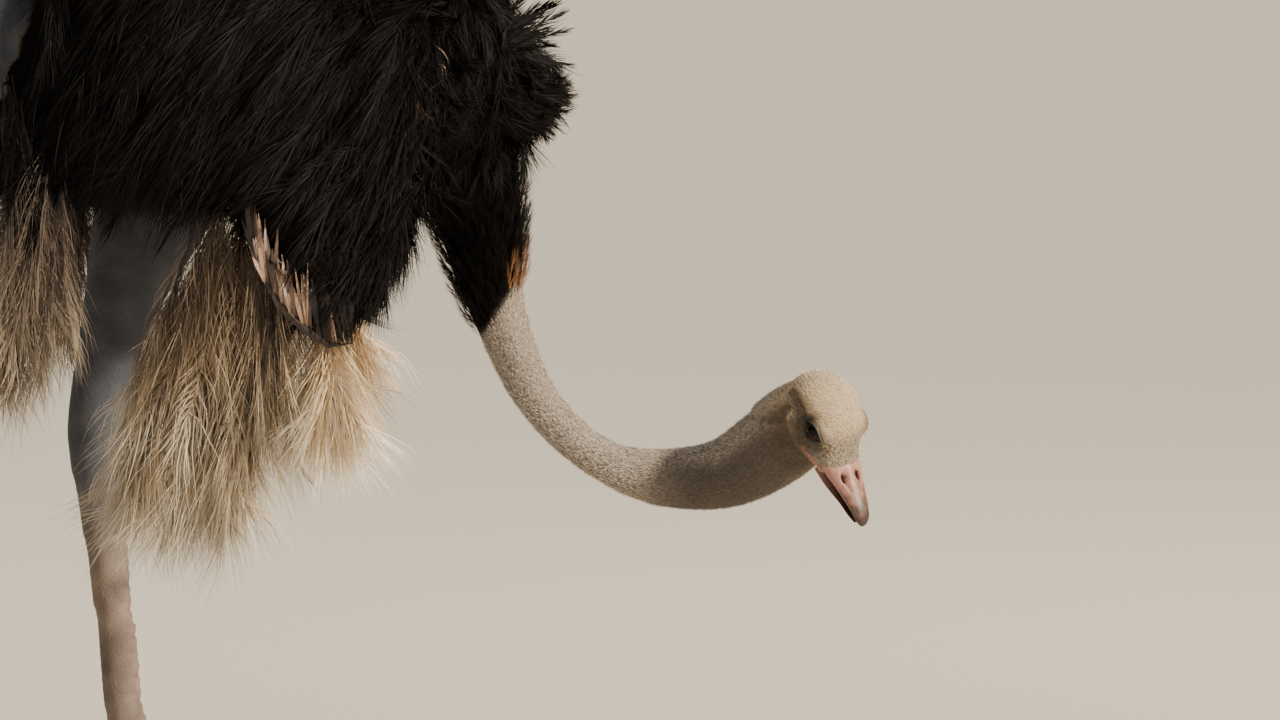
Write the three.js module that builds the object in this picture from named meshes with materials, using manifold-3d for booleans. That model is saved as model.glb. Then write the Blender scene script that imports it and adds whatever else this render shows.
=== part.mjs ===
// A grazing male ostrich at life size, standing in a slow stride with its neck lowered.
// Millimetres, +Z up, +X the way the bird faces, +Y its left. The floor is z = 0.
//
// Every solid is a sweep: a unit cylinder whose rings are laid along a line of stations.
// A station is [x, y, z, half width, upper half height, lower half height], and the sizes
// between two stations follow a Catmull-Rom curve. Solids that meet are trimmed against a
// copy of the neighbour grown by GAP, so that neighbours never touch.
import * as THREE from "three";
import { mergeVertices } from "three/addons/utils/BufferGeometryUtils.js";
import Module from "manifold-3d";

// ---------------------------------------------------------------- driving dimensions
const GAP = 0.4; // clear space between two solids that meet
const RIGHT = -1; // the bird's right side is at -Y
const LEFT = 1;
const SIDE_NAMES = new Map([
  [RIGHT, "right"],
  [LEFT, "left"],
]);

const TRUNK_MID_HEIGHT = 1010; // height of the trunk's middle over the floor
const TRUNK_HALF_WIDTH = 245; // body feathers included, folded wings not
const BACK_RISE = 295; // from the trunk's middle up to the back
const BELLY_DROP = 228; // and down to the belly feathers
const BREAST_X = 503; // the ruff over the neck's root
const RUMP_X = -600;

const NECK_THIN = 26; // radius of the bare neck at its slimmest
const NECK_THROAT = 50; // radius where it meets the head
const COLLAR_RADIUS = 33; // where the black feathers stop

const HEAD_CENTRE = new THREE.Vector3(803, -106, 529); // midway between the eyes
const BILL_DIRECTION = new THREE.Vector3(0.435, -0.332, -0.837);
const CROWN_DIRECTION = new THREE.Vector3(0.417, -0.75, 0.514);
const SKULL_HALF_WIDTH = 42;
const EYE_RADIUS = 22;
const EYE_SPREAD = 23; // from the head's middle plane to an eye's centre
const EYE_LIFT = 4; // over the line from head centre to bill
const MOUTH_GAP = 0.7; // across the slit between the two jaws

const LEG_SPREAD = 128; // from the middle plane to a foot
const HOCK_HEIGHT = 490;
const ANKLE_HEIGHT = 70;
const STRIDE = { [RIGHT]: -352, [LEFT]: -72 }; // where each hock is along the body
const SOLE = { [RIGHT]: -296, [LEFT]: -26 }; // and each ankle
const LARGE_TOE = { length: 158, radius: 23, turn: -4 };
const SMALL_TOE = { length: 104, radius: 16, turn: 24 };
const LARGE_CLAW = { length: 46, radius: 9 };
const SMALL_CLAW = { length: 16, radius: 5.5 };

const WING_Y = 250; // the middle of the wing's thickness at its fullest
const WING_HALF_THICKNESS = 54;
const WING_LEAN = 0.24; // its top edge lies in over the back
const PLUME_Y = 262;

// ---------------------------------------------------------------- materials
function finish(colour, roughness) {
  return new THREE.MeshStandardMaterial({ color: colour, roughness, metalness: 0 });
}
const BLACK_FEATHER = finish(0x15120f, 0.8);
const WHITE_FEATHER = finish(0xd8c4a2, 0.9);
const NECK_DOWN = finish(0x9a8b80, 0.85);
const LEG_SKIN = finish(0x7d7f86, 0.7);
const SHANK_SCALE = finish(0x8a7468, 0.6);
const BILL_HORN = finish(0xc9a08c, 0.45);
const CLAW_HORN = finish(0x4a4038, 0.5);
const EYE_BROWN = finish(0x1c1310, 0.1);

// ---------------------------------------------------------------- sweeps
const wasm = await Module();
wasm.setup();

/** Catmull-Rom value between b and c, with a and d outside them. */
function between(a, b, c, d, s) {
  const rise = (c - a) / 2;
  const fall = (d - b) / 2;
  const s2 = s * s;
  const s3 = s2 * s;
  return (
    (2 * s3 - 3 * s2 + 1) * b +
    (s3 - 2 * s2 + s) * rise +
    (3 * s2 - 2 * s3) * c +
    (s3 - s2) * fall
  );
}

/** The station at t, from 0 at the first to 1 at the last. */
function stationAt(stations, t) {
  const last = stations.length - 1;
  const at = THREE.MathUtils.clamp(t, 0, 1) * last;
  const i = Math.min(Math.floor(at), last - 1);
  const near = (k) => stations[THREE.MathUtils.clamp(k, 0, last)];
  return stations[i].map((_, c) =>
    between(near(i - 1)[c], near(i)[c], near(i + 1)[c], near(i + 2)[c], at - i),
  );
}

/**
 * A closed solid swept through stations. side is the direction of its half width. Its height
 * runs along side x travel. square above 1 makes the section boxier than an ellipse. cut
 * fixes the direction that every section faces, and otherwise each faces along the line.
 * turn is the angle of the section's first corner. from and to pick a share of the line.
 * lean tips each section over sideways, by its share of the height.
 */
function sweep(stations, options) {
  const { side, sides = 18, steps = 10, square = 1, turn = 0, cut = null, grow = 0 } = options;
  const { from = 0, to = 1, lean = 0 } = options;
  const tube = new THREE.CylinderGeometry(1, 1, 1, sides, steps, false, turn);
  tube.deleteAttribute("normal");
  tube.deleteAttribute("uv");
  const place = tube.getAttribute("position");
  const point = new THREE.Vector3();
  for (let i = 0; i < place.count; i += 1) {
    point.fromBufferAttribute(place, i);
    const t = from + (to - from) * (point.y + 0.5);
    const [x, y, z, width, up, down] = stationAt(stations, t);
    const ahead = new THREE.Vector3(...stationAt(stations, t + 0.02));
    const behind = new THREE.Vector3(...stationAt(stations, t - 0.02));
    const travel = cut ? cut.clone() : ahead.sub(behind).normalize();
    const across = side.clone().addScaledVector(travel, -side.dot(travel)).normalize();
    const rise = new THREE.Vector3().crossVectors(across, travel);
    const shape = (v) => Math.sign(v) * Math.abs(v) ** (1 / square);
    const height = point.z > 0 ? up : down;
    const ends = point.y > 0.499 ? grow : point.y < -0.499 ? -grow : 0;
    const lift = shape(point.z) * (height + grow);
    const at = new THREE.Vector3(x, y, z)
      .addScaledVector(across, shape(point.x) * (width + grow) + lean * lift)
      .addScaledVector(rise, lift)
      .addScaledVector(travel, ends);
    place.setXYZ(i, at.x, at.y, at.z);
  }
  return solid(tube);
}

/** A three.js geometry as a manifold-3d solid. */
function solid(geometry) {
  const merged = mergeVertices(geometry, 1e-3);
  return new wasm.Manifold(
    new wasm.Mesh({
      numProp: 3,
      vertProperties: new Float32Array(merged.getAttribute("position").array),
      triVerts: new Uint32Array(merged.index.array),
    }),
  );
}

/** The largest piece of what is left of one solid when others are taken away. */
function without(whole, ...others) {
  const rest = others.reduce((kept, other) => kept.subtract(other), whole);
  return rest.decompose().reduce((a, b) => (b.volume() > a.volume() ? b : a));
}

const SIDEWAYS = new THREE.Vector3(0, -1, 0);
const FORWARD = new THREE.Vector3(1, 0, 0);
const bird = new THREE.Group();

/** Adds one solid to the bird as a named mesh. */
function addNode(name, shape, material) {
  const mesh = shape.getMesh();
  const geometry = new THREE.BufferGeometry()
    .setAttribute("position", new THREE.BufferAttribute(mesh.vertProperties, 3))
    .setIndex(new THREE.BufferAttribute(mesh.triVerts, 1));
  const node = new THREE.Mesh(geometry, material);
  node.name = name;
  bird.add(node);
}

// ---------------------------------------------------------------- trunk and tail
const h = TRUNK_MID_HEIGHT;
const w = TRUNK_HALF_WIDTH;
const TRUNK = [
  [RUMP_X, 0, h + 105, 40, 40, 40],
  [-560, 0, h + 92, 112, 108, 118],
  [-440, 0, h + 62, 0.78 * w, 190, 184],
  [-260, 0, h + 30, 0.92 * w, 0.93 * BACK_RISE, 222],
  [-60, 0, h, w, BACK_RISE, BELLY_DROP],
  [140, 0, h - 26, 0.96 * w, 0.91 * BACK_RISE, 0.9 * BELLY_DROP],
  [300, 0, h - 42, 0.86 * w, 244, 200],
  [405, 0, h - 64, 0.7 * w, 184, 142],
  [464, 0, h - 80, 122, 106, 74],
  [494, 0, h - 98, 70, 60, 48],
  [BREAST_X, 0, h - 104, 28, 26, 22],
];

function trunk(grow = 0) {
  return sweep(TRUNK, { side: SIDEWAYS, sides: 24, steps: 15, square: 1.12, cut: FORWARD, grow });
}

const TAIL = [
  [-850, 0, 885, 50, 12, 12],
  [-825, 0, 918, 108, 30, 30],
  [-755, 0, 1000, 150, 52, 56],
  [-660, 0, 1085, 140, 66, 78],
  [-560, 0, 1140, 100, 66, 88],
  [-500, 0, 1160, 70, 50, 70],
];

function tail() {
  return sweep(TAIL, { side: SIDEWAYS, sides: 14, steps: 8, square: 1.1 });
}

// ---------------------------------------------------------------- neck
// From its root in the breast, down to its lowest point and up again into the head.
const NECK = [
  [325, 0, 905, 84, 88, 88],
  [366, 0, 832, 66, 70, 70],
  [386, 1, 771, 52, 54, 54],
  [398, 2, 706, 42, 43, 43],
  [414, 3, 645, COLLAR_RADIUS, COLLAR_RADIUS, COLLAR_RADIUS],
  [450, 4, 563, 28, 28, 28],
  [497, 5, 508, NECK_THIN, NECK_THIN, NECK_THIN],
  [543, 6, 477, 27, 28, 28],
  [594, 6, 462, 31, 35, 35],
  [649, 3, 461, 34, 41, 41],
  [693, -7, 474, 37, 46, 46],
  [733, -28, 500, 39, NECK_THROAT, NECK_THROAT],
  [772, -62, 530, 36, 44, 46],
];
const NECK_NODES = [
  // name, first and last share of the neck's line, steps along it
  ["neck_base", 0, 0.3, 6],
  ["neck_lower", 0.3, 0.5, 5],
  ["neck_middle", 0.5, 0.74, 6],
  ["neck_upper", 0.74, 1, 7],
];

/** A length of the neck, from share a to share b of its line. */
function neckPart(a, b, steps) {
  const line = new THREE.CatmullRomCurve3(NECK.map(([x, y, z]) => new THREE.Vector3(x, y, z)));
  const trim = GAP / line.getLength();
  const share = { from: a + trim, to: b - trim };
  return sweep(NECK, { side: SIDEWAYS, sides: 16, steps, ...share });
}

// ---------------------------------------------------------------- head
// In the head's own frame: [forward, right, up from the head's centre, sizes].
const SKULL = [
  [-74, 0, -6, 10, 10, 12],
  [-66, 0, -5, 26, 25, 27],
  [-50, 0, -4, 36, 36, 38],
  [-28, 0, -3, SKULL_HALF_WIDTH, 41, 44],
  [-6, 0, -4, SKULL_HALF_WIDTH, 41, 45],
  [14, 0, -8, 37, 37, 38],
  [32, 0, -13, 30, 25, 30],
  [46, 0, -17, 25, 17, 25],
];
const UPPER_BILL = [
  [44, 0, -16, 25, 15, 8],
  [60, 0, -18, 21, 12, 6],
  [79, 0, -20.5, 16.5, 9.5, 5],
  [97, 0, -24, 13, 7.5, 5],
  [110, 0, -28.5, 9, 6, 5],
  [115, 0, -32, 4, 3, 3],
];
const LOWER_BILL = [
  [40, 0, -31, 24, 6, 11],
  [60, 0, -32, 20, 7, 8],
  [79, 0, -32.5, 15.5, 6, 5.5],
  [97, 0, -34.5, 11.5, 4, 4],
  [108, 0, -37.5, 6, 2, 2],
];
const forward = BILL_DIRECTION.clone().normalize();
const crown = CROWN_DIRECTION.clone().addScaledVector(forward, -CROWN_DIRECTION.dot(forward));
crown.normalize();
const right = new THREE.Vector3().crossVectors(forward, crown);

/** A place in the head's frame, as a point of the bird. */
function onHead(ahead, rightward, up) {
  return HEAD_CENTRE.clone()
    .addScaledVector(forward, ahead)
    .addScaledVector(right, rightward)
    .addScaledVector(crown, up);
}

/** A solid swept along the head, from stations in the head's frame. */
function headSweep(stations, options) {
  const placed = stations.map(([a, r, u, ...sizes]) => [...onHead(a, r, u), ...sizes]);
  return sweep(placed, { side: right, cut: forward, ...options });
}

function skull(grow = 0) {
  return headSweep(SKULL, { sides: 18, steps: 12, square: 1.12, grow });
}

/** The slit between the jaws, as a thin sheet that bends down with the bill. */
function mouthSlit() {
  const line = [
    [30, 0, -25, 60, MOUTH_GAP, MOUTH_GAP],
    [66, 0, -25, 60, MOUTH_GAP, MOUTH_GAP],
    [97, 0, -29, 60, MOUTH_GAP, MOUTH_GAP],
    [130, 0, -38, 60, MOUTH_GAP, MOUTH_GAP],
  ];
  return headSweep(line, { sides: 4, steps: 6, turn: Math.PI / 4 });
}

function eye(sideSign, grow = 0) {
  const ball = new THREE.SphereGeometry(EYE_RADIUS + grow, 12, 9);
  ball.deleteAttribute("normal");
  ball.deleteAttribute("uv");
  ball.translate(...onHead(0, -sideSign * EYE_SPREAD, EYE_LIFT));
  return solid(ball);
}

// ---------------------------------------------------------------- legs
// How far each length of thigh and drumstick lies ahead of the hock, top end first.
const LEG_LINE = {
  [RIGHT]: [128, 118, 92, 58, 22, 4],
  [LEFT]: [150, 140, 104, 58, 20, 4],
};

/** The bare thigh and drumstick, from inside the trunk down to the hock. */
function drumstick(sideSign, grow = 0) {
  const ahead = LEG_LINE[sideSign].map((reach) => STRIDE[sideSign] + reach);
  const y = sideSign * LEG_SPREAD;
  const stations = [
    [ahead[0], y + sideSign * 28, 1085, 74, 118, 118],
    [ahead[1], y + sideSign * 40, 985, 82, 116, 122],
    [ahead[2], y + sideSign * 30, 870, 70, 92, 100],
    [ahead[3], y + sideSign * 14, 745, 50, 62, 68],
    [ahead[4], y + sideSign * 4, 620, 32, 38, 42],
    [ahead[5], y, HOCK_HEIGHT + 20, 34, 37, 40],
    [STRIDE[sideSign], y, HOCK_HEIGHT - 20, 26, 28, 30],
  ];
  return sweep(stations, { side: SIDEWAYS.clone().negate(), sides: 14, steps: 9, grow });
}

/** The scaled shank, from the hock down to the toes' root. */
function shank(sideSign, grow = 0) {
  const top = STRIDE[sideSign];
  const foot = SOLE[sideSign];
  const y = sideSign * LEG_SPREAD;
  const share = (s) => top + (foot - top) * s;
  const stations = [
    [share(-0.02), y, HOCK_HEIGHT + 8, 31, 34, 36],
    [share(0.14), y, 430, 24, 27, 31],
    [share(0.45), y, 300, 19, 22, 26],
    [share(0.8), y, 150, 20, 23, 26],
    [share(1), y, ANKLE_HEIGHT, 25, 27, 28],
    [share(1.08), y, ANKLE_HEIGHT - 30, 21, 20, 20],
  ];
  return sweep(stations, { side: SIDEWAYS.clone().negate(), sides: 12, steps: 8, grow });
}

/** One side's claws and toes, flat on the floor, as { name: shape }. */
function foot(sideSign) {
  const root = new THREE.Vector3(SOLE[sideSign], sideSign * LEG_SPREAD, 0);
  const room = new THREE.BoxGeometry(900, 900, 400).translate(root.x, root.y, -200).toNonIndexed();
  room.deleteAttribute("normal");
  room.deleteAttribute("uv");
  const below = solid(room);
  const digit = (toe, claw, out, grow = 0) => {
    const heading = THREE.MathUtils.degToRad(toe.turn) * sideSign;
    const ahead = new THREE.Vector3(Math.cos(heading), Math.sin(heading), 0);
    const side = new THREE.Vector3().crossVectors(ahead, new THREE.Vector3(0, 0, -1)).negate();
    const at = (s, z, half, up, down) => [
      ...root.clone().addScaledVector(ahead, s * toe.length + out.s).setZ(z).add(out.at),
      half,
      up,
      down,
    ];
    const r = toe.radius;
    const flesh = [
      at(-0.16, r * 1.25, r * 0.7, r * 0.9, r * 1.3),
      at(0.0, r * 1.15, r * 1.05, r * 1.2, r * 1.25),
      at(0.3, r * 0.98, r * 1.0, r * 1.0, r * 1.1),
      at(0.6, r * 0.86, r * 0.96, r * 0.8, r),
      at(0.86, r * 0.74, r * 0.92, r * 0.62, r * 0.84),
      at(1.0, r * 0.52, r * 0.45, r * 0.34, r * 0.56),
    ];
    const c = claw.radius;
    const reach = claw.length / toe.length;
    const nail = [
      at(0.84, r * 0.86, c * 0.8, c * 0.5, c * 0.6),
      at(0.95, r * 0.84, c * 1.15, c * 0.9, c * 0.8),
      at(1 + 0.5 * reach, c * 1.0, c * 0.8, c * 0.62, c * 0.7),
      at(1 + reach, c * 0.55, c * 0.25, c * 0.25, c * 0.3),
    ];
    const turned = side.clone();
    return {
      flesh: sweep(flesh, { side: turned, sides: 10, steps: 6, square: 1.1, grow }),
      nail: sweep(nail, { side: turned, sides: 8, steps: 5, grow }),
    };
  };
  const inner = { s: 0, at: new THREE.Vector3(0, -sideSign * 7, 0) };
  const outer = { s: 2, at: new THREE.Vector3(0, sideSign * 19, 0) };
  const large = digit(LARGE_TOE, LARGE_CLAW, inner);
  const small = digit(SMALL_TOE, SMALL_CLAW, outer);
  const largeGrown = digit(LARGE_TOE, LARGE_CLAW, inner, GAP);
  const smallGrown = digit(SMALL_TOE, SMALL_CLAW, outer, GAP);
  const leg = shank(sideSign, GAP);
  return {
    claw_large: without(large.nail, below),
    claw_small: without(small.nail, below),
    toe_large: without(large.flesh, below, leg, largeGrown.nail),
    toe_small: without(small.flesh, below, leg, smallGrown.nail, largeGrown.flesh),
  };
}

// ---------------------------------------------------------------- wings and plumes
/** Mirrors stations that are written for the left side. */
function onSide(stations, sideSign) {
  return stations.map(([x, y, ...rest]) => [x, sideSign * y, ...rest]);
}

/** The drooped wing with its black coverts: shoulder in front, hand hanging at the front. */
function wing(sideSign, grow = 0) {
  const y = WING_Y;
  const t = WING_HALF_THICKNESS;
  const stations = onSide(
    [
      [-188, y - 34, 872, 8, 24, 30],
      [-162, y - 22, 888, 0.5 * t, 62, 62],
      [-110, y - 8, 945, 0.8 * t, 134, 134],
      [-40, y, 975, 0.95 * t, 176, 166],
      [40, y, 968, t, 206, 164],
      [115, y - 3, 932, t, 226, 170],
      [165, y - 6, 904, t, 240, 212],
      [212, y - 12, 886, 0.95 * t, 246, 240],
      [268, y - 30, 894, 0.8 * t, 226, 240],
      [322, y - 62, 935, 0.5 * t, 150, 186],
      [348, y - 80, 950, 8, 60, 80],
    ],
    sideSign,
  );
  const lean = sideSign * WING_LEAN;
  const shape = { side: SIDEWAYS, sides: 16, steps: 12, square: 1.2, cut: FORWARD, lean, grow };
  return sweep(stations, shape);
}

// Bunches of long white plumes that hang from hand, forearm and elbow, top end first.
const PLUMES = {
  primaries: [
    [234, PLUME_Y + 4, 690, 36, 24, 24],
    [244, PLUME_Y + 12, 628, 50, 30, 30],
    [247, PLUME_Y + 18, 572, 50, 34, 34],
    [238, PLUME_Y + 18, 520, 44, 26, 28],
    [230, PLUME_Y + 16, 484, 16, 10, 10],
  ],
  secondaries: [
    [112, PLUME_Y - 14, 810, 80, 28, 30],
    [106, PLUME_Y - 4, 700, 96, 32, 34],
    [86, PLUME_Y + 4, 596, 98, 34, 36],
    [58, PLUME_Y + 6, 504, 82, 30, 32],
    [36, PLUME_Y + 4, 438, 54, 20, 22],
    [22, PLUME_Y + 4, 408, 20, 8, 8],
  ],
  tertials: [
    [-104, PLUME_Y - 22, 880, 44, 22, 24],
    [-112, PLUME_Y - 12, 790, 56, 28, 30],
    [-126, PLUME_Y - 6, 690, 54, 28, 30],
    [-142, PLUME_Y - 4, 600, 38, 20, 22],
    [-152, PLUME_Y - 4, 556, 14, 8, 8],
  ],
};

function plumes(bunch, sideSign, grow = 0) {
  const shape = { side: FORWARD, sides: 12, steps: 7, square: 1.1, grow };
  return sweep(onSide(PLUMES[bunch], sideSign), shape);
}

// ---------------------------------------------------------------- the bird
addNode("trunk", trunk(), BLACK_FEATHER);
addNode("tail", without(tail(), trunk(GAP)), WHITE_FEATHER);

for (const [name, a, b, steps] of NECK_NODES) {
  const part = without(neckPart(a, b, steps), trunk(GAP), skull(GAP));
  addNode(name, part, name === "neck_base" ? BLACK_FEATHER : NECK_DOWN);
}

const upperJaw = without(headSweep(UPPER_BILL, { sides: 12, steps: 8, square: 1.15 }), skull(GAP));
const lowerJaw = without(headSweep(LOWER_BILL, { sides: 12, steps: 7, square: 1.15 }), skull(GAP));
addNode("head", without(skull(), eye(LEFT, GAP), eye(RIGHT, GAP)), NECK_DOWN);
addNode("bill_upper", without(upperJaw, mouthSlit()), BILL_HORN);
addNode("bill_lower", without(lowerJaw, mouthSlit(), upperJaw), BILL_HORN);

for (const [sideSign, side] of SIDE_NAMES) {
  addNode(`eye_${side}`, eye(sideSign), EYE_BROWN);
  addNode(`drumstick_${side}`, without(drumstick(sideSign), trunk(GAP)), LEG_SKIN);
  addNode(`shank_${side}`, without(shank(sideSign), drumstick(sideSign, GAP)), SHANK_SCALE);
  for (const [name, shape] of Object.entries(foot(sideSign))) {
    addNode(`${name}_${side}`, shape, name.startsWith("claw") ? CLAW_HORN : SHANK_SCALE);
  }
  const flank = without(wing(sideSign), trunk(GAP), drumstick(sideSign, GAP));
  addNode(`wing_${side}`, flank, BLACK_FEATHER);
  const neighbours = [trunk(GAP), wing(sideSign, GAP), drumstick(sideSign, GAP)];
  for (const bunch of Object.keys(PLUMES)) {
    const hanging = without(plumes(bunch, sideSign), ...neighbours);
    neighbours.push(plumes(bunch, sideSign, GAP));
    addNode(`${bunch}_${side}`, hanging, WHITE_FEATHER);
  }
}

export default bird;
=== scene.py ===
"""A life-size still model of a grazing male ostrich: its skin, plumage, bill, eyes and claws.

Lengths are metres, apart from stations, head places and limbs, which are millimetres.
"""

import logging
import math
from dataclasses import dataclass, field, replace
from enum import Enum, IntEnum
from typing import Any, Callable, Iterable, Sequence

import bmesh
import bpy
import numpy as np
from bmesh.types import BMesh, BMFace, BMVert
from bpy.types import ID, Material, Mesh, Node, NodeSocket, NodeTree, Object
from mathutils import Euler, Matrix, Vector
from mathutils.bvhtree import BVHTree


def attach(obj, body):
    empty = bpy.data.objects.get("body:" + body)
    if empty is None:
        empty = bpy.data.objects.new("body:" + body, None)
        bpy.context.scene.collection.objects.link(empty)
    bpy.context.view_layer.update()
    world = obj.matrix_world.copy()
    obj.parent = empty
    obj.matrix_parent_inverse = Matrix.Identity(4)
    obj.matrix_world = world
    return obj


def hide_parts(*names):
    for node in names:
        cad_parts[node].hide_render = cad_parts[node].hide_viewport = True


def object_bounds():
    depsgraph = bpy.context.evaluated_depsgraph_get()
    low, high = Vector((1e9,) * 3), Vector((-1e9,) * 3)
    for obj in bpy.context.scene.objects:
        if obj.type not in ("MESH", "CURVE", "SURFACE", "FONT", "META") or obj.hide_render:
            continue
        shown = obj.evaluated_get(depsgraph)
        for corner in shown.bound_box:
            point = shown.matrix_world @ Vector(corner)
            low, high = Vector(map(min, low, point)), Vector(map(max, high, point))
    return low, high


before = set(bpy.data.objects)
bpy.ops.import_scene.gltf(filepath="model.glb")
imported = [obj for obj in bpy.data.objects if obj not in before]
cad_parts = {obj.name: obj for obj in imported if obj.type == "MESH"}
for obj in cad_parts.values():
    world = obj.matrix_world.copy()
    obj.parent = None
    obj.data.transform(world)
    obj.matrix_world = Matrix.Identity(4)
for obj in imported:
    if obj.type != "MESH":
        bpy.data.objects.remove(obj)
CAD_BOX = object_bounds()

LOG = logging.getLogger("ostrich")
MM = 0.001
DOWN = Vector((0, 0, -1))
SIDES = {"right": -1, "left": 1}
KERATIN_IOR = 1.54
CORNEA_IOR = 1.376
SKIN_IOR = 1.4
FULL_TURN = 2 * math.pi

Array = np.ndarray
Rng = np.random.Generator
Stations = tuple[tuple[float, ...], ...]
Triple = tuple[float, float, float]
Ramp = tuple[tuple[float, str], ...]


class Seed(IntEnum):
    """The seed of each piece's random draws; pieces of one side add the side's sign."""

    BODY = 11
    MANTLE = 12
    NECK_BASE = 13
    UNDER = 15
    WING = 20
    PLUMES = 30
    HAND = 35
    SHAFTS = 36
    TAIL = 40
    DOWN = 50
    LASHES = 60


# ---- small helpers
def linear(code: str) -> tuple[float, float, float, float]:
    """Turns an sRGB hex colour into linear light.

    Args:
        code: six hex digits, such as "c8b48c".

    Returns:
        Linear red, green, blue and an alpha of one.
    """
    parts = [int(code[i : i + 2], 16) / 255 for i in (0, 2, 4)]
    light = [c / 12.92 if c <= 0.04045 else ((c + 0.055) / 1.055) ** 2.4 for c in parts]
    return (*light, 1.0)


def add_node(
    tree: NodeTree, kind: str, inputs: dict[Any, Any] | None = None,
    stops: Sequence[tuple[float, str]] = (), **settings: Any,
) -> Node:
    """Adds one node with its settings and links.

    Args:
        tree: the material's node tree.
        kind: the node's Blender type.
        inputs: a value, or a socket to link from, for each input by name or number.
        stops: positions and hex colours, for a colour ramp.
        settings: the node's own properties.

    Returns:
        The new node.
    """
    node = tree.nodes.new(kind)
    for name, value in settings.items():
        setattr(node, name, value)
    for key, value in (inputs or {}).items():
        if isinstance(value, NodeSocket):
            tree.links.new(value, node.inputs[key])
        else:
            node.inputs[key].default_value = value
    for i, (place, code) in enumerate(stops):
        elements = node.color_ramp.elements
        element = elements[i] if i < 2 else elements.new(place)
        element.position = place
        element.color = linear(code)
    return node


def smoothstep(low: float, high: float, value: Array) -> Array:
    """Rises smoothly from 0 at low to 1 at high, or falls where low is above high."""
    s = np.clip((value - low) / (high - low), 0, 1)
    return s * s * (3 - 2 * s)


def unit(rows: Array) -> Array:
    """Scales each row to length one."""
    return rows / np.maximum(np.linalg.norm(rows, axis=-1, keepdims=True), 1e-9)


def read_mesh(mesh: Mesh, what: str = "co") -> Array:
    """Gives a mesh's vertex places, or its normals, as an array of rows.

    Args:
        mesh: the mesh to read.
        what: "co" for places, "normal" for normals.

    Returns:
        A row of three per vertex.
    """
    flat = np.empty(len(mesh.vertices) * 3)
    mesh.vertices.foreach_get(what, flat)
    return flat.reshape(-1, 3)


def move_mesh(mesh: Mesh, rows: Array) -> None:
    """Writes new vertex places, in metres, to a mesh."""
    mesh.vertices.foreach_set("co", rows.ravel())
    mesh.update()


def made_mesh(bm: BMesh, name: str) -> Mesh:
    """Turns a bmesh into a mesh and frees it.

    Args:
        bm: the bmesh.
        name: the mesh's name.

    Returns:
        The mesh.
    """
    mesh = bpy.data.meshes.new(name)
    bm.to_mesh(mesh)
    bm.free()
    return mesh


def link_object(name: str, data: ID) -> Object:
    """Puts a mesh, light or camera in the scene.

    Args:
        name: the object's name.
        data: what it shows.

    Returns:
        The object.
    """
    made = bpy.data.objects.new(name, data)
    bpy.context.collection.objects.link(made)
    return made


def paint(mesh: Mesh, name: str, *channels: Array) -> None:
    """Stores up to three numbers per vertex as a colour attribute.

    Args:
        mesh: the mesh to store them on.
        name: the attribute's name.
        channels: one array per channel, each with a value per vertex.
    """
    data = np.zeros((len(mesh.vertices), 4), np.float32)
    data[:, 3] = 1
    for i, channel in enumerate(channels):
        data[:, i] = channel
    mesh.attributes.new(name, "FLOAT_COLOR", "POINT").data.foreach_set("color", data.ravel())


def place_piece(
    mesh: Mesh, name: str, slot: str, replaces: Iterable[str], *finishes: Material
) -> Object:
    """Makes a mesh a shown piece of the bird, riding on its one body.

    Args:
        mesh: the piece's mesh, in the frame's own metres.
        name: the piece's name.
        slot: the record's material slot; not used.
        replaces: the CAD nodes it stands for.
        finishes: its materials.

    Returns:
        The new object.
    """
    if name in replaces:
        name = f"{name}_surface"
    mesh.name = name
    piece = link_object(name, mesh)
    for finish in finishes:
        mesh.materials.append(finish)
    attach(piece, "root")
    if replaces:
        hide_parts(*replaces)
    LOG.info("%s: %d faces", name, len(mesh.polygons))
    return piece


# ---- material nodes
def blank_material(name: str) -> tuple[Material, NodeTree, Node]:
    """Makes a material with just its surface shader.

    Args:
        name: the material's name.

    Returns:
        The material, its node tree and the shader.
    """
    made = bpy.data.materials.new(name)
    made.use_nodes = True
    return made, made.node_tree, made.node_tree.nodes["Principled BSDF"]


def stored(tree: NodeTree, name: str) -> bpy.types.bpy_prop_collection:
    """Gives the Red, Green and Blue outputs of a colour attribute of the mesh."""
    source = add_node(tree, "ShaderNodeAttribute", attribute_name=name)
    return add_node(tree, "ShaderNodeSeparateColor", {0: source.outputs["Color"]}).outputs


def own_place(tree: NodeTree) -> NodeSocket:
    """Gives the place on the object, for textures."""
    return add_node(tree, "ShaderNodeTexCoord").outputs["Object"]


def noise(tree: NodeTree, place: NodeSocket, size: float, detail: float) -> NodeSocket:
    """Adds a noise whose spots have a size in millimetres."""
    inputs = {"Vector": place, "Scale": 1 / (size * MM), "Detail": detail}
    return add_node(tree, "ShaderNodeTexNoise", inputs).outputs[0]


def ramp(tree: NodeTree, value: NodeSocket, stops: Ramp) -> NodeSocket:
    """Turns a value into a colour."""
    return add_node(tree, "ShaderNodeValToRGB", {0: value}, stops).outputs[0]


def maths(tree: NodeTree, operation: str, *values: Any) -> NodeSocket:
    """Works on values, sockets or numbers, by one of the Math node's operations."""
    return add_node(tree, "ShaderNodeMath", dict(enumerate(values)), operation=operation).outputs[0]


def blend(tree: NodeTree, share: NodeSocket, under: Any, over: Any) -> NodeSocket:
    """Lays one colour over another by a share."""
    return add_node(tree, "ShaderNodeMix", {0: share, 6: under, 7: over}, data_type="RGBA").outputs[2]


def relief(tree: NodeTree, shader: Node, height: NodeSocket, strength: float, deep: float) -> None:
    """Bumps a shader's surface by a height, as deep as given in millimetres."""
    inputs = {"Height": height, "Strength": strength, "Distance": deep * MM}
    tree.links.new(add_node(tree, "ShaderNodeBump", inputs).outputs[0], shader.inputs["Normal"])


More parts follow.
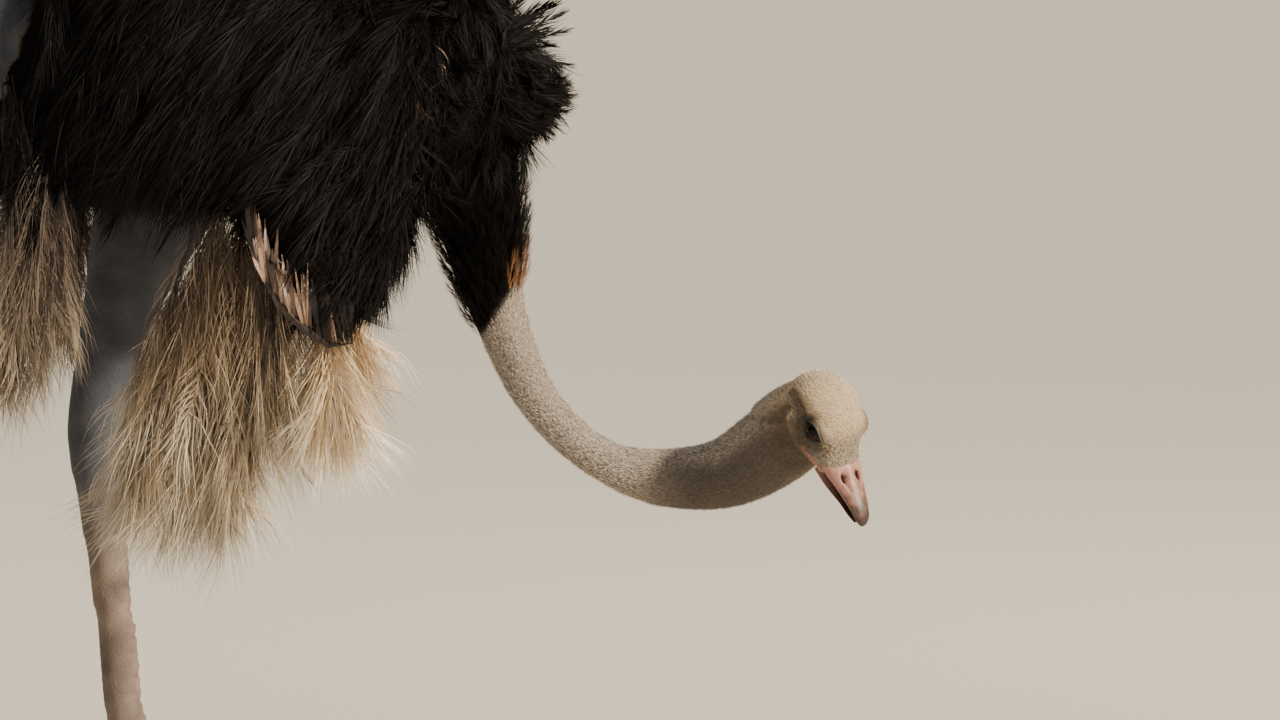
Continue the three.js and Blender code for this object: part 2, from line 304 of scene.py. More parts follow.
# ---- sweeps
@dataclass(frozen=True)
class Sweep:
    """A form swept through stations of [x, y, z, half width, upper and lower half height].

    Attributes:
        stations: the rows, in millimetres, joined by a Catmull-Rom curve.
        side: the direction of the half width.
        square: above 1, the section is boxier than an ellipse.
        cut: the direction every section faces, or None to face along the line.
        lean: how far each section tips sideways, by its share of the height.
    """

    stations: Stations
    side: Triple = (0, -1, 0)
    square: float = 1.0
    cut: Triple | None = None
    lean: float = 0.0

    def station(self, t: Array) -> Array:
        """Gives stations in metres.

        Args:
            t: the shares along the line, from 0 at the first station to 1 at the last.

        Returns:
            A station's row per share.
        """
        rows = np.array(self.stations, float) * MM
        last = len(rows) - 1
        at = np.clip(t, 0, 1) * last
        i = np.minimum(at.astype(int), last - 1)
        s = (at - i)[:, None]
        a, b, c, d = (rows[np.clip(i + k, 0, last)] for k in (-1, 0, 1, 2))
        rise, fall = (c - a) / 2, (d - b) / 2
        near = (2 * s**3 - 3 * s**2 + 1) * b + (s**3 - 2 * s**2 + s) * rise
        return near + (3 * s**2 - 2 * s**3) * c + (s**3 - s**2) * fall

    def axes(self, t: Array) -> tuple[Array, Array, Array]:
        """Gives the directions of the sections.

        Args:
            t: the shares along the line.

        Returns:
            The directions across, up and along, a row per share.
        """
        if self.cut is None:
            travel = unit((self.station(t + 0.02) - self.station(t - 0.02))[:, :3])
        else:
            travel = np.tile(unit(np.array(self.cut, float)), (len(t), 1))
        side = np.array(self.side, float)
        across = unit(side - travel * (travel @ side)[:, None])
        return across, np.cross(across, travel), travel

    def surface(self, t: Array, turn: Array, inset: float = 0.0) -> Array:
        """Gives points of the surface.

        Args:
            t: the shares along the line.
            turn: the angles round it, from the across direction towards up.
            inset: how far inside the surface, in metres.

        Returns:
            A row per point, in metres.
        """
        rows = self.station(t)
        across, rise, _ = self.axes(t)
        c, s = np.cos(turn), np.sin(turn)
        shape = 1 / self.square
        half = np.maximum(rows[:, 3] - inset, rows[:, 3] * 0.15)
        tall = np.where(s > 0, rows[:, 4], rows[:, 5])
        lift = np.sign(s) * np.abs(s) ** shape * np.maximum(tall - inset, tall * 0.15)
        out = np.sign(c) * np.abs(c) ** shape * half + self.lean * lift
        return rows[:, :3] + across * out[:, None] + rise * lift[:, None]

    def loft(self, bm: BMesh, sides: int, rings: int, inset: float = 0.0) -> None:
        """Adds the closed form to a bmesh: a disc extruded ring by ring, then shaped.

        Args:
            bm: the bmesh to add to.
            sides: vertices round each ring.
            rings: steps along the line.
            inset: how far inside the surface, in metres.
        """
        disc = bmesh.ops.create_circle(bm, cap_ends=True, segments=sides, radius=1)["verts"]
        made = list(disc)
        face = next(f for f in disc[0].link_faces)
        for _ in range(rings):
            new = bmesh.ops.extrude_face_region(bm, geom=[face])["geom"]
            if len(made) > sides:
                bmesh.ops.delete(bm, geom=[face], context="FACES_ONLY")
            ring = [g for g in new if isinstance(g, BMVert)]
            face = next(g for g in new if isinstance(g, BMFace))
            bmesh.ops.translate(bm, verts=ring, vec=(0, 0, 1))
            made.extend(ring)
        x, y, z = np.array([v.co for v in made]).T
        for vert, at in zip(made, self.surface(z / rings, np.arctan2(y, x), inset)):
            vert.co = at
        faces = list(dict.fromkeys(f for v in made for f in v.link_faces))
        bmesh.ops.recalc_face_normals(bm, faces=faces)
        middle = Vector(self.station(np.array([0.5]))[0, :3])
        volume = 0.0
        for face in faces:
            face.normal_update()
            volume += face.calc_area() * face.normal.dot(face.calc_center_median() - middle)
        if volume < 0:
            bmesh.ops.reverse_faces(bm, faces=faces)

    def mesh(self, name: str, sides: int, rings: int) -> Mesh:
        """Makes the closed form a mesh of its own, its end caps in triangles.

        Args:
            name: the mesh's name.
            sides: vertices round each ring.
            rings: steps along the line.

        Returns:
            The mesh.
        """
        bm = bmesh.new()
        self.loft(bm, sides, rings)
        bmesh.ops.triangulate(bm, faces=[f for f in bm.faces if len(f.verts) > 4])
        return made_mesh(bm, name)


def tree_of(*sweeps: Sweep, inset: float = 0.0) -> BVHTree:
    """Builds a search tree over closed forms.

    Args:
        sweeps: the forms.
        inset: how far inside their surfaces, in metres.

    Returns:
        The tree.
    """
    bm = bmesh.new()
    for sweep in sweeps:
        sweep.loft(bm, 28, 36, inset)
    tree = BVHTree.FromBMesh(bm)
    bm.free()
    return tree


def keep_in(rows: Array) -> Array:
    """Presses points that stick out of the CAD's box back towards it.

    Args:
        rows: the points, in metres.

    Returns:
        The pressed points, past the box by 60% of what a visual may be at most.
    """
    low, high = (np.array(corner) for corner in CAD_BOX)
    room = 0.6 * (0.03 * (high - low) + 0.01)
    over, under = np.maximum(rows - high, 0), np.maximum(low - rows, 0)
    pressed = np.clip(rows, low, high)
    return pressed + room * (1 - np.exp(-over / room)) - room * (1 - np.exp(-under / room))


def gap_to_line(rows: Array, start: Array, end: Array) -> tuple[Array, Array]:
    """Measures points against the straight line between two ends.

    Args:
        rows: the points.
        start: one end.
        end: the other.

    Returns:
        Each point's share along the line, and its distance from it.
    """
    run = end - start
    share = np.clip((rows - start) @ run / (run @ run), 0, 1)
    return share, np.linalg.norm(rows - start - share[:, None] * run, axis=1)


def eye_ring_and_shade(rows: Array) -> Array:
    """Says how far places on the head lie in the dark ring round an eye: dark lid skin, spread wide as
    painted shade round it.

    Args:
        rows: places in the head's frame, in millimetres.

    Returns:
        A share for each, from 0 to 1.
    """
    ring = np.zeros(len(rows))
    for sign in (-1, 1):
        out = rows - np.array([0, sign * 38, 3])
        gap = np.linalg.norm(out * (0.85, 0.8, 1) * np.where(out[:, 2:] > 0, 1.3, 1.0), axis=1)
        ring = np.maximum(ring, 1 - smoothstep(16, 31, gap))
    return ring


def painted_neck_shade(world: Array, normals: Array) -> Array:
    """Says how much painted shade lies on cheeks, throat and the sides of the upper neck, where the head
    casts its shadow.

    Args:
        world: places on the skin, in metres.
        normals: the outward normals there.

    Returns:
        A share for each, from 0 to 1.
    """
    rows = HEAD.to_head(world)
    back = smoothstep(0.56, 0.66, world[:, 0] + 0.3 * (0.49 - world[:, 2]))
    # the top of the neck faces the light and takes no painted shade
    dorsal = smoothstep(0.15, 0.75, normals @ unit(np.array([-0.6, 0.0, 0.8])))
    crown = smoothstep(-10, 12, rows[:, 2] + 0.35 * rows[:, 0]) * (np.linalg.norm(rows, axis=1) < 100)
    face = smoothstep(8, 30, rows[:, 0])
    return back * (1 - dorsal) * (1 - crown) * (1 - face)


def is_inside(tree: BVHTree, point: Vector, reach: float = 0.3) -> bool:
    """Says whether a point is inside a closed form."""
    at, normal, _, _ = tree.find_nearest(point, reach)
    return at is not None and (point - at).dot(normal) < 0


# ---- the bird's form
@dataclass(frozen=True)
class Head:
    """The head's own frame and sizes, in millimetres."""

    centre: Triple = (803, -106, 529)
    bill: Triple = (0.435, -0.332, -0.837)
    crown: Triple = (0.417, -0.75, 0.514)
    reach: float = 110  # the head's skin lies this near its centre
    eye_ahead: float = 1.0
    eye_spread: float = 19.8
    eye_lift: float = 3
    eye_radius: float = 20.2
    eye_half: float = 16.5  # half the length of the opening between the lids
    eye_tall: tuple[float, float] = (7.6, 8.6)  # how far it opens above and below
    gaze: Triple = (0.0, 0.9, 0.26)  # ahead, outward, up

    def eye(self, sign: int) -> tuple[Array, Array, Array, Array]:
        """Gives one eye's centre, and the directions of its gaze, its front corner and its upper lid.

        Args:
            sign: 1 for the eye on the head's right, -1 for the left.

        Returns:
            Four rows in the head's frame.
        """
        gaze = unit(np.array(self.gaze) * (1, sign, 1))
        ahead = np.array([1.0, 0, 0.15])
        ahead = unit(ahead - gaze * (gaze @ ahead))
        centre = np.array([self.eye_ahead, sign * self.eye_spread, self.eye_lift])
        return centre, gaze, ahead, np.cross(ahead, gaze) * sign

    def basis(self) -> Array:
        """Gives the directions ahead, right and up of the head.

        Returns:
            Three rows in the frame's directions.
        """
        ahead = unit(np.array(self.bill, float))
        up = np.array(self.crown, float)
        up = unit(up - ahead * (up @ ahead))
        return np.array([ahead, np.cross(ahead, up), up])

    def to_world(self, rows: Array) -> Array:
        """Turns head rows in millimetres into metres of the frame."""
        return (np.array(self.centre, float) + rows @ self.basis()) * MM

    def to_head(self, rows: Array) -> Array:
        """Turns frame rows in metres into head rows in millimetres."""
        return (rows / MM - np.array(self.centre, float)) @ self.basis().T

    def sweep(self, stations: Sequence[Sequence[float]], square: float = 1.12) -> Sweep:
        """Makes a sweep along the head.

        Args:
            stations: its stations in the head's frame.
            square: how boxy its sections are.

        Returns:
            The sweep, in the bird's frame.
        """
        rows = np.array(stations, float)
        placed = np.hstack([self.to_world(rows[:, :3]) / MM, rows[:, 3:]])
        ahead, right, _ = self.basis()
        return Sweep(tuple(map(tuple, placed)), tuple(right), square, tuple(ahead))


HEAD = Head()
SKULL = HEAD.sweep(
    (
        (-74, 0, -6, 10, 10, 12), (-66, 0, -5, 26, 25, 27), (-50, 0, -4, 36, 36, 38),
        (-28, 0, -3, 42, 41, 44), (-6, 0, -4, 42, 41, 45), (14, 0, -9, 37, 35, 37),
        (30, 0, -15, 31, 24, 28), (44, 0, -21, 25, 16, 21), (56, 0, -24, 13, 11.5, 4),
        (64, 0, -25, 5, 8, 2),
    )
)
NECK = Sweep(
    (
        (325, 0, 905, 84, 88, 88), (366, 0, 832, 66, 70, 70), (386, 1, 771, 52, 54, 54),
        (398, 2, 706, 42, 43, 43), (414, 3, 645, 33, 33, 33), (450, 4, 563, 28, 28, 28),
        (497, 5, 508, 26, 26, 26), (543, 6, 477, 27, 28, 28), (594, 6, 462, 31, 35, 35),
        (649, 3, 461, 34, 41, 41), (693, -7, 474, 37, 46, 46), (733, -28, 500, 39, 50, 50),
        (772, -62, 530, 36, 44, 46),
    )
)
NAPE = Sweep(
    (
        (668, -4, 476, 24, 26, 26), (702, -16, 502, 28, 29, 29), (733, -36, 530, 31, 30, 30),
        (760, -62, 550, 33, 30, 30), (782, -86, 560, 31, 26, 26),
    )
)
TAIL = Sweep(
    (
        (-850, 0, 885, 50, 12, 12), (-825, 0, 918, 108, 30, 30), (-755, 0, 1000, 150, 52, 56),
        (-660, 0, 1085, 140, 66, 78), (-560, 0, 1140, 100, 66, 88), (-500, 0, 1160, 70, 50, 70),
    ),
    square=1.1,
)
TRUNK_CORE = Sweep(
    (
        (-556, 0, 1115, 14, 14, 14), (-530, 0, 1102, 64, 58, 66), (-430, 0, 1072, 141, 140, 134),
        (-260, 0, 1040, 175, 224, 172), (-60, 0, 1010, 195, 245, 178), (140, 0, 984, 185, 218, 155),
        (280, 0, 968, 165, 196, 148), (360, 0, 950, 132, 146, 104), (408, 0, 936, 92, 82, 58),
        (430, 0, 926, 52, 44, 34), (437, 0, 922, 16, 14, 12),
    ),
    square=1.12, cut=(1, 0, 0),
)


@dataclass(frozen=True)
class Toe:
    """The sizes of one toe and its claw, in millimetres, and its turn outward in degrees."""

    length: float
    radius: float
    turn: float
    root: float
    claw: float
    claw_radius: float


TOES = (Toe(158, 23, -4, -7, 46, 9), Toe(104, 16, 24, 19, 16, 5.5))


@dataclass(frozen=True)
class Side:
    """The limbs of one side, in millimetres.

    Attributes:
        sign: -1 on the right, 1 on the left.
        hock: how far along the body the hock is.
        ankle: how far along the body the ankle is.
        reach: how far each length of the leg above the hock lies ahead of it.
        spread: how far the leg is from the body's middle plane.
    """

    sign: int
    hock: float
    ankle: float
    reach: tuple[float, ...]
    spread: float = 128

    def legs(self) -> tuple[Sweep, Sweep]:
        """Places the leg's lengths.

        Returns:
            The thigh with the drumstick, and the shank.
        """
        s, y, x = self.sign, self.sign * self.spread, self.hock
        a = [x + reach for reach in self.reach]
        upper = (
            (a[0], y + s * 28, 1085, 74, 118, 118), (a[1], y + s * 40, 985, 82, 116, 122),
            (a[2], y + s * 30, 870, 70, 92, 100), (a[3], y + s * 14, 745, 50, 62, 68),
            (a[4], y + s * 4, 620, 32, 38, 42), (a[5], y, 510, 34, 37, 40), (x, y, 470, 26, 28, 30),
        )
        run = self.ankle - self.hock
        lower = (
            (x - 0.02 * run, y, 498, 31, 34, 36), (x + 0.14 * run, y, 430, 24, 27, 31),
            (x + 0.45 * run, y, 300, 19, 22, 26), (x + 0.8 * run, y, 150, 20, 23, 26),
            (x + run, y, 70, 25, 27, 28), (x + 1.08 * run, y, 40, 21, 20, 20),
        )
        return Sweep(upper, (0, 1, 0)), Sweep(lower, (0, 1, 0))

    def toe_rows(self, toe: Toe) -> Callable[..., tuple[float, ...]]:
        """Makes a function that places the stations of one toe.

        Args:
            toe: the toe.

        Returns:
            A function of the share of the length, the height, and the three half sizes.
        """
        heading = math.radians(toe.turn) * self.sign
        x, y = self.ankle, self.sign * self.spread + toe.root * self.sign

        def row(s: float, z: float, half: float, up: float, down: float) -> tuple[float, ...]:
            """Gives the station at a share of the length."""
            at = s * toe.length
            return (x + math.cos(heading) * at, y + math.sin(heading) * at, z, half, up, down)

        return row

    def toes(self) -> tuple[Sweep, ...]:
        """Places the large inner toe and the small outer one.

        Returns:
            Their forms.
        """
        made = []
        for toe in TOES:
            row, r = self.toe_rows(toe), toe.radius
            rows = (
                row(-0.16, r * 1.25, r * 0.7, r * 0.9, r * 1.3),
                row(0.0, r * 1.15, r * 1.05, r * 1.2, r * 1.25), row(0.3, r * 0.98, r, r, r * 1.1),
                row(0.6, r * 0.86, r * 0.96, r * 0.8, r),
                row(0.86, r * 0.74, r * 0.92, r * 0.62, r * 0.84),
                row(1.0, r * 0.52, r * 0.45, r * 0.34, r * 0.56),
            )
            made.append(Sweep(rows, (0, 1, 0), 1.1))
        return tuple(made)

    def claws(self) -> tuple[Sweep, ...]:
        """Places the large toe's claw and the small one's.

        Returns:
            Their forms.
        """
        made = []
        for toe in TOES:
            row, r, c = self.toe_rows(toe), toe.radius, toe.claw_radius
            reach = toe.claw / toe.length
            rows = (
                row(0.84, r * 0.86, c * 0.8, c * 0.5, c * 0.6),
                row(0.95, r * 0.84, c * 1.15, c * 0.9, c * 0.8),
                row(1 + 0.5 * reach, c, c * 0.8, c * 0.62, c * 0.7),
                row(1 + reach, c * 0.55, c * 0.25, c * 0.25, c * 0.3),
            )
            made.append(Sweep(rows, (0, 1, 0)))
        return tuple(made)

    def mirrored(self, rows: Sequence[Sequence[float]], **options: Any) -> Sweep:
        """Makes a sweep on this side from stations written for the left."""
        placed = tuple((x, self.sign * y, *rest) for x, y, *rest in rows)
        return Sweep(placed, **options)

    def wing(self) -> Sweep:
        """Places the drooped wing.

        Returns:
            Its form, with the feathers.
        """
        y, t = 250, 54
        rows = (
            (-188, y - 34, 872, 8, 24, 30), (-162, y - 22, 888, 0.5 * t, 62, 62),
            (-110, y - 8, 945, 0.8 * t, 134, 134), (-40, y, 975, 0.95 * t, 176, 166),
            (40, y, 968, t, 206, 164), (115, y - 3, 932, t, 226, 170),
            (165, y - 6, 904, t, 240, 212), (212, y - 12, 886, 0.95 * t, 246, 240),
            (268, y - 30, 894, 0.8 * t, 226, 240), (322, y - 62, 935, 0.5 * t, 150, 186),
            (348, y - 80, 950, 8, 60, 80),
        )
        return self.mirrored(rows, square=1.2, cut=(1, 0, 0), lean=0.24 * self.sign)

    def bunches(self) -> dict[str, Sweep]:
        """Places the bunches of long plumes that hang under the wing.

        Returns:
            The bunches' forms by name.
        """
        y = 262
        rows = {
            "primaries": (
                (234, y + 4, 690, 36, 24, 24), (244, y + 12, 628, 50, 30, 30),
                (247, y + 18, 572, 50, 34, 34), (238, y + 18, 520, 44, 26, 28),
                (230, y + 16, 484, 16, 10, 10),
            ),
            "secondaries": (
                (112, y - 14, 810, 80, 28, 30), (106, y - 4, 700, 96, 32, 34),
                (86, y + 4, 596, 98, 34, 36), (58, y + 6, 504, 82, 30, 32),
                (36, y + 4, 438, 54, 20, 22), (22, y + 4, 408, 20, 8, 8),
            ),
            "tertials": (
                (-104, y - 22, 880, 44, 22, 24), (-112, y - 12, 790, 56, 28, 30),
                (-126, y - 6, 690, 54, 28, 30), (-142, y - 4, 600, 38, 20, 22),
                (-152, y - 4, 556, 14, 8, 8),
            ),
        }
        options = {"side": (1, 0, 0), "square": 1.1}
        return {name: self.mirrored(part, **options) for name, part in rows.items()}


BIRD = {
    "right": Side(-1, hock=-352, ankle=-296, reach=(128, 118, 92, 58, 22, 4)),
    "left": Side(1, hock=-72, ankle=-26, reach=(150, 140, 104, 58, 20, 4)),
}
WING_DEPTH = 0.030  # how deep the wing's feathers are
COLLAR = (Vector((0.4115, 0, 0.654)), Vector((-0.839, 0, 0.545)))  # black lies beyond it


def beyond_collar(rows: Array) -> Array:
    """Gives how far places lie beyond the collar, on the body's side of it."""
    at, normal = COLLAR
    return (rows - np.array(at)) @ np.array(normal)


# ---- finishes
@dataclass(frozen=True)
class PlumeFinish:
    """Feather keratin: barbs with a soft sheen, from rachis to frayed tip.

    Attributes:
        name: the material's name.
        stops: colours from the feather's root to its tip.
        shade: the colour that darker feathers lean towards.
        roughness: of the barbs.
        sheen: how much fuzz catches the light.
        mottle: the size of the broad colour changes, in millimetres.
        gloss: how much of a smooth sheath's reflection the loose barbs keep.
    """

    name: str
    stops: Ramp
    shade: str
    roughness: float = 0.5
    sheen: float = 0.1
    mottle: float = 90
    gloss: float = 0.25

    def make(self) -> Material:
        """Builds the material.

        Returns:
            The material.
        """
        made, tree, shader = blank_material(self.name)
        parts = stored(tree, "plume")
        colour = ramp(tree, parts["Green"], self.stops)
        patch = noise(tree, own_place(tree), self.mottle, 3.0)
        share = maths(tree, "MULTIPLY", parts["Red"], patch)
        tree.links.new(blend(tree, share, colour, linear(self.shade)), shader.inputs["Base Color"])
        shader.inputs["Roughness"].default_value = self.roughness
        shader.inputs["IOR"].default_value = KERATIN_IOR
        shader.inputs["Specular IOR Level"].default_value = self.gloss
        shader.inputs["Sheen Weight"].default_value = self.sheen
        return made


# Black contour feathers: melanin takes in most light and loose barbs scatter the rest, so they
# look matt, and a little browner at the tips.
BLACK_PLUMES = PlumeFinish(
    "black_contour_feather", ((0.0, "040404"), (0.7, "070606"), (1.0, "100d0c")), "18120f",
    roughness=0.55, sheen=0.0, gloss=0.07,
)
# Long pale plumes: brown at the root, partly soiled and partly painted shade where the wing covers them,
# cream at the free ends.
PALE_PLUMES = PlumeFinish(
    "cream_wing_plume", ((0.0, "40352b"), (0.35, "75624d"), (0.62, "c2ab88"), (1.0, "f8eed6")),
    "6b5640", roughness=0.6, sheen=0.2, mottle=70,
)
# The hand's plumes: a lit copy of the pale plumes, light almost to the root as painted sunlight where they
# hang free in the light.
CREAM_PLUMES = PlumeFinish(
    "sunlit_hand_plume", ((0.0, "9a8266"), (0.25, "d3bc97"), (0.6, "f2e4c6"), (1.0, "fdf6e6")),
    "c9a066", roughness=0.6, sheen=0.2, mottle=60,
)
# Plumes of the tail and of the wing's rear end: brown nearly to the tip, which on the wing's rear end is
# painted shade under the wing.
TAIL_PLUMES = PlumeFinish(
    "shaded_brown_tail_plume", ((0.0, "3d332b"), (0.5, "69594a"), (1.0, "b8a688")), "52443a",
    roughness=0.62, sheen=0.2, mottle=80,
)
# Bristly down of neck and head: off-white hair-like feathers with grey roots; the darkest stop is painted
# shade on throat, cheeks and upper neck.
DOWN_BRISTLES = PlumeFinish(
    "neck_bristle_down", ((0.0, "34312f"), (0.35, "8b8076"), (0.7, "d2c6b4"), (1.0, "faf2e4")),
    "9a8668", roughness=0.6, mottle=40,
)
# The head's down is shorter than the neck's, and creamier and warmer as painted sunlight on the crown; its
# darkest stop is painted shade on the cheeks and round the eyes.
CROWN_BRISTLES = PlumeFinish(
    "sunlit_crown_down", ((0.0, "34302c"), (0.35, "97836a"), (0.7, "dcc6a2"), (1.0, "fbedd2")),
    "a98d66", roughness=0.6, mottle=14,
)
# The rusty fringe where black feathers end and bare neck starts.
RUSTY_FRINGE = PlumeFinish(
    "rusty_collar_feather", ((0.0, "b9804a"), (0.5, "94602f"), (0.85, "3a2416")), "4a2f1c",
    mottle=30,
)
# Smooth closed vanes on the wing's hand and at the parting: dark brown, with the pale streaks where they
# mirror light painted in as highlights.
GLOSSY_QUILLS = PlumeFinish(
    "glossy_brown_quill", ((0.0, "2a1c15"), (0.6, "1a110d"), (1.0, "0e0908")), "cfa98c",
    roughness=0.38, sheen=0.0, mottle=160, gloss=0.35,
)


@dataclass(frozen=True)
class SkinFinish:
    """Living skin: dark under the plumage, grey-brown on the neck, blue-grey on the legs.

    The markings come from the zone and face attributes, which the coat's markings match; the face's red
    paints shade on cheeks and throat and its blue paints sunlight on the crown.

    Attributes:
        name: the material's name.
        neck: colours of the neck's grain.
        leg: colours of the bare thigh's blotches.
        scale: colours of the scaled shank and toes.
        covered: the skin under the black plumage.
        shadow: painted shade on cheeks, throat and the sides of the upper neck, and the dark rings round
            the eyes.
        gape: the corner of the mouth.
        crown: painted sunlight on the crown's skin, under the cream down.
        groove: the seams between scutes.
    """

    name: str = "ostrich_skin"
    neck: Ramp = ((0.3, "64584e"), (0.5, "82766a"), (0.72, "a3978a"))
    leg: Ramp = ((0.3, "3d3f45"), (0.55, "4b4d53"), (0.75, "5b5a59"))
    scale: Ramp = ((0.3, "62564d"), (0.6, "807063"), (0.8, "958475"))
    covered: str = "0f0d0c"
    shadow: str = "3a3531"
    gape: str = "ab6c5e"
    crown: str = "d0b892"
    groove: str = "4a3a31"

    def make(self) -> Material:
        """Builds the material.

        Returns:
            The material.
        """
        made, tree, shader = blank_material(self.name)
        where, mark = stored(tree, "zone"), stored(tree, "face")
        place = own_place(tree)
        blotch, grain = noise(tree, place, 35, 5.0), noise(tree, place, 3.5, 3.0)
        pores = add_node(tree, "ShaderNodeTexVoronoi", {"Vector": place, "Scale": 1 / (2.6 * MM)})
        seams = add_node(tree, "ShaderNodeAttribute", attribute_name="scute")
        colour = ramp(tree, grain, self.neck)
        # the face's red is painted shade, its blue painted sunlight on the crown
        for share, over in (
            (where["Green"], ramp(tree, blotch, self.leg)),
            (where["Blue"], ramp(tree, blotch, self.scale)), (where["Red"], linear(self.covered)),
            (mark["Red"], linear(self.shadow)), (mark["Green"], linear(self.gape)),
            (mark["Blue"], linear(self.crown)), (seams.outputs["Fac"], linear(self.groove)),
        ):
            colour = blend(tree, share, colour, over)
        tree.links.new(colour, shader.inputs["Base Color"])
        relief(tree, shader, maths(tree, "ADD", grain, pores.outputs[0]), 0.5, 0.8)
        mirror = maths(tree, "MULTIPLY_ADD", where["Red"], -0.28, 0.3)
        tree.links.new(mirror, shader.inputs["Specular IOR Level"])
        shader.inputs["Roughness"].default_value = 0.62
        shader.inputs["IOR"].default_value = SKIN_IOR
        return made


@dataclass(frozen=True)
class HornFinish:
    """Horn of bill and claws: a smooth keratin sheath, streaked along its growth.

    Attributes:
        name: the material's name.
        stops: colours from the root to the tip.
        dark: the colour of the painted shade in the nostrils, the grooves before them and under the jaws.
        roughness: of the sheath.
    """

    name: str
    stops: Ramp
    dark: str
    roughness: float = 0.46

    def make(self) -> Material:
        """Builds the material, dark and dull where shade is painted.

        Returns:
            The material.
        """
        made, tree, shader = blank_material(self.name)
        parts = stored(tree, "horn")
        streak = noise(tree, own_place(tree), 6, 6.0)
        drift = maths(tree, "MULTIPLY_ADD", streak, 0.7, -0.35)
        colour = ramp(tree, maths(tree, "ADD", parts["Green"], drift), self.stops)
        # the horn's red paints shade into the nostrils and under the jaws
        stained = blend(tree, parts["Red"], colour, linear(self.dark))
        tree.links.new(stained, shader.inputs["Base Color"])
        relief(tree, shader, streak, 0.2, 0.2)
        dull = maths(tree, "MULTIPLY_ADD", parts["Red"], 0.5, self.roughness)
        tree.links.new(dull, shader.inputs["Roughness"])
        mirror = maths(tree, "MULTIPLY_ADD", parts["Red"], -0.48, 0.5)
        tree.links.new(mirror, shader.inputs["Specular IOR Level"])
        shader.inputs["IOR"].default_value = KERATIN_IOR
        return made


# The bill's sheath: pink where blood shows through thin horn, browner and thicker to the tip.
BILL_HORN = HornFinish(
    "salmon_bill_horn",
    ((0.0, "bb8a7b"), (0.3, "ab7868"), (0.55, "8b6051"), (0.72, "66473a"), (0.9, "3f2d24")),
    # the painted shade in the nostrils and under the jaws
    "2b1b16",
)
# The claws' thick dead horn, worn dull by the ground.
CLAW_HORN = HornFinish(
    "worn_claw_horn", ((0.0, "6a5a4c"), (0.5, "4a3d33"), (1.0, "2e2722")), "1a1512", roughness=0.5,
)


@dataclass(frozen=True)
class EyeFinish:
    """The wet eye: a dark brown iris round a black pupil, under a clear wet film."""

    name: str = "wet_brown_eye"
    stops: Ramp = ((0.0, "040303"), (0.2, "050404"), (0.24, "3a2413"), (0.4, "24160d"), (0.5, "120c09"))

    def make(self) -> Material:
        """Builds the material.

        Returns:
            The material.
        """
        made, tree, shader = blank_material(self.name)
        colour = ramp(tree, stored(tree, "iris")["Red"], self.stops)
        tree.links.new(colour, shader.inputs["Base Color"])
        shader.inputs["Roughness"].default_value = 0.08
        shader.inputs["IOR"].default_value = CORNEA_IOR
        shader.inputs["Specular IOR Level"].default_value = 0.3
        return made


# ---- skin
ALL_WAYS = {"use_axis_x": True, "use_axis_y": True, "use_axis_z": True}
LIMBS = ("drumstick", "shank", "toe_large", "toe_small")
TOE_SCUTE, SHANK_SCUTE = 0.0105, 0.0155  # the length of one scute
GAPE_CORNER = np.array([8.0, 39, -25])
# Swellings of the head's right side: place, size and height in the head's frame.
CHEEK_BULGES = (
    ((-2, 33, 24), (22, 9, 8), 3.2),  # brow
    ((22, 27, 12), (14, 9, 7), 1.2),  # brow's front end
    ((26, 28, -4), (13, 10, 11), -3.2),  # lore
    ((-40, 38, -16), (6, 10, 8), -5.0),  # ear opening
    ((-30, 38, -14), (4, 10, 11), 0.6),  # its rim
    ((-4, 36, -28), (22, 10, 10), 2.6),  # cheek
)


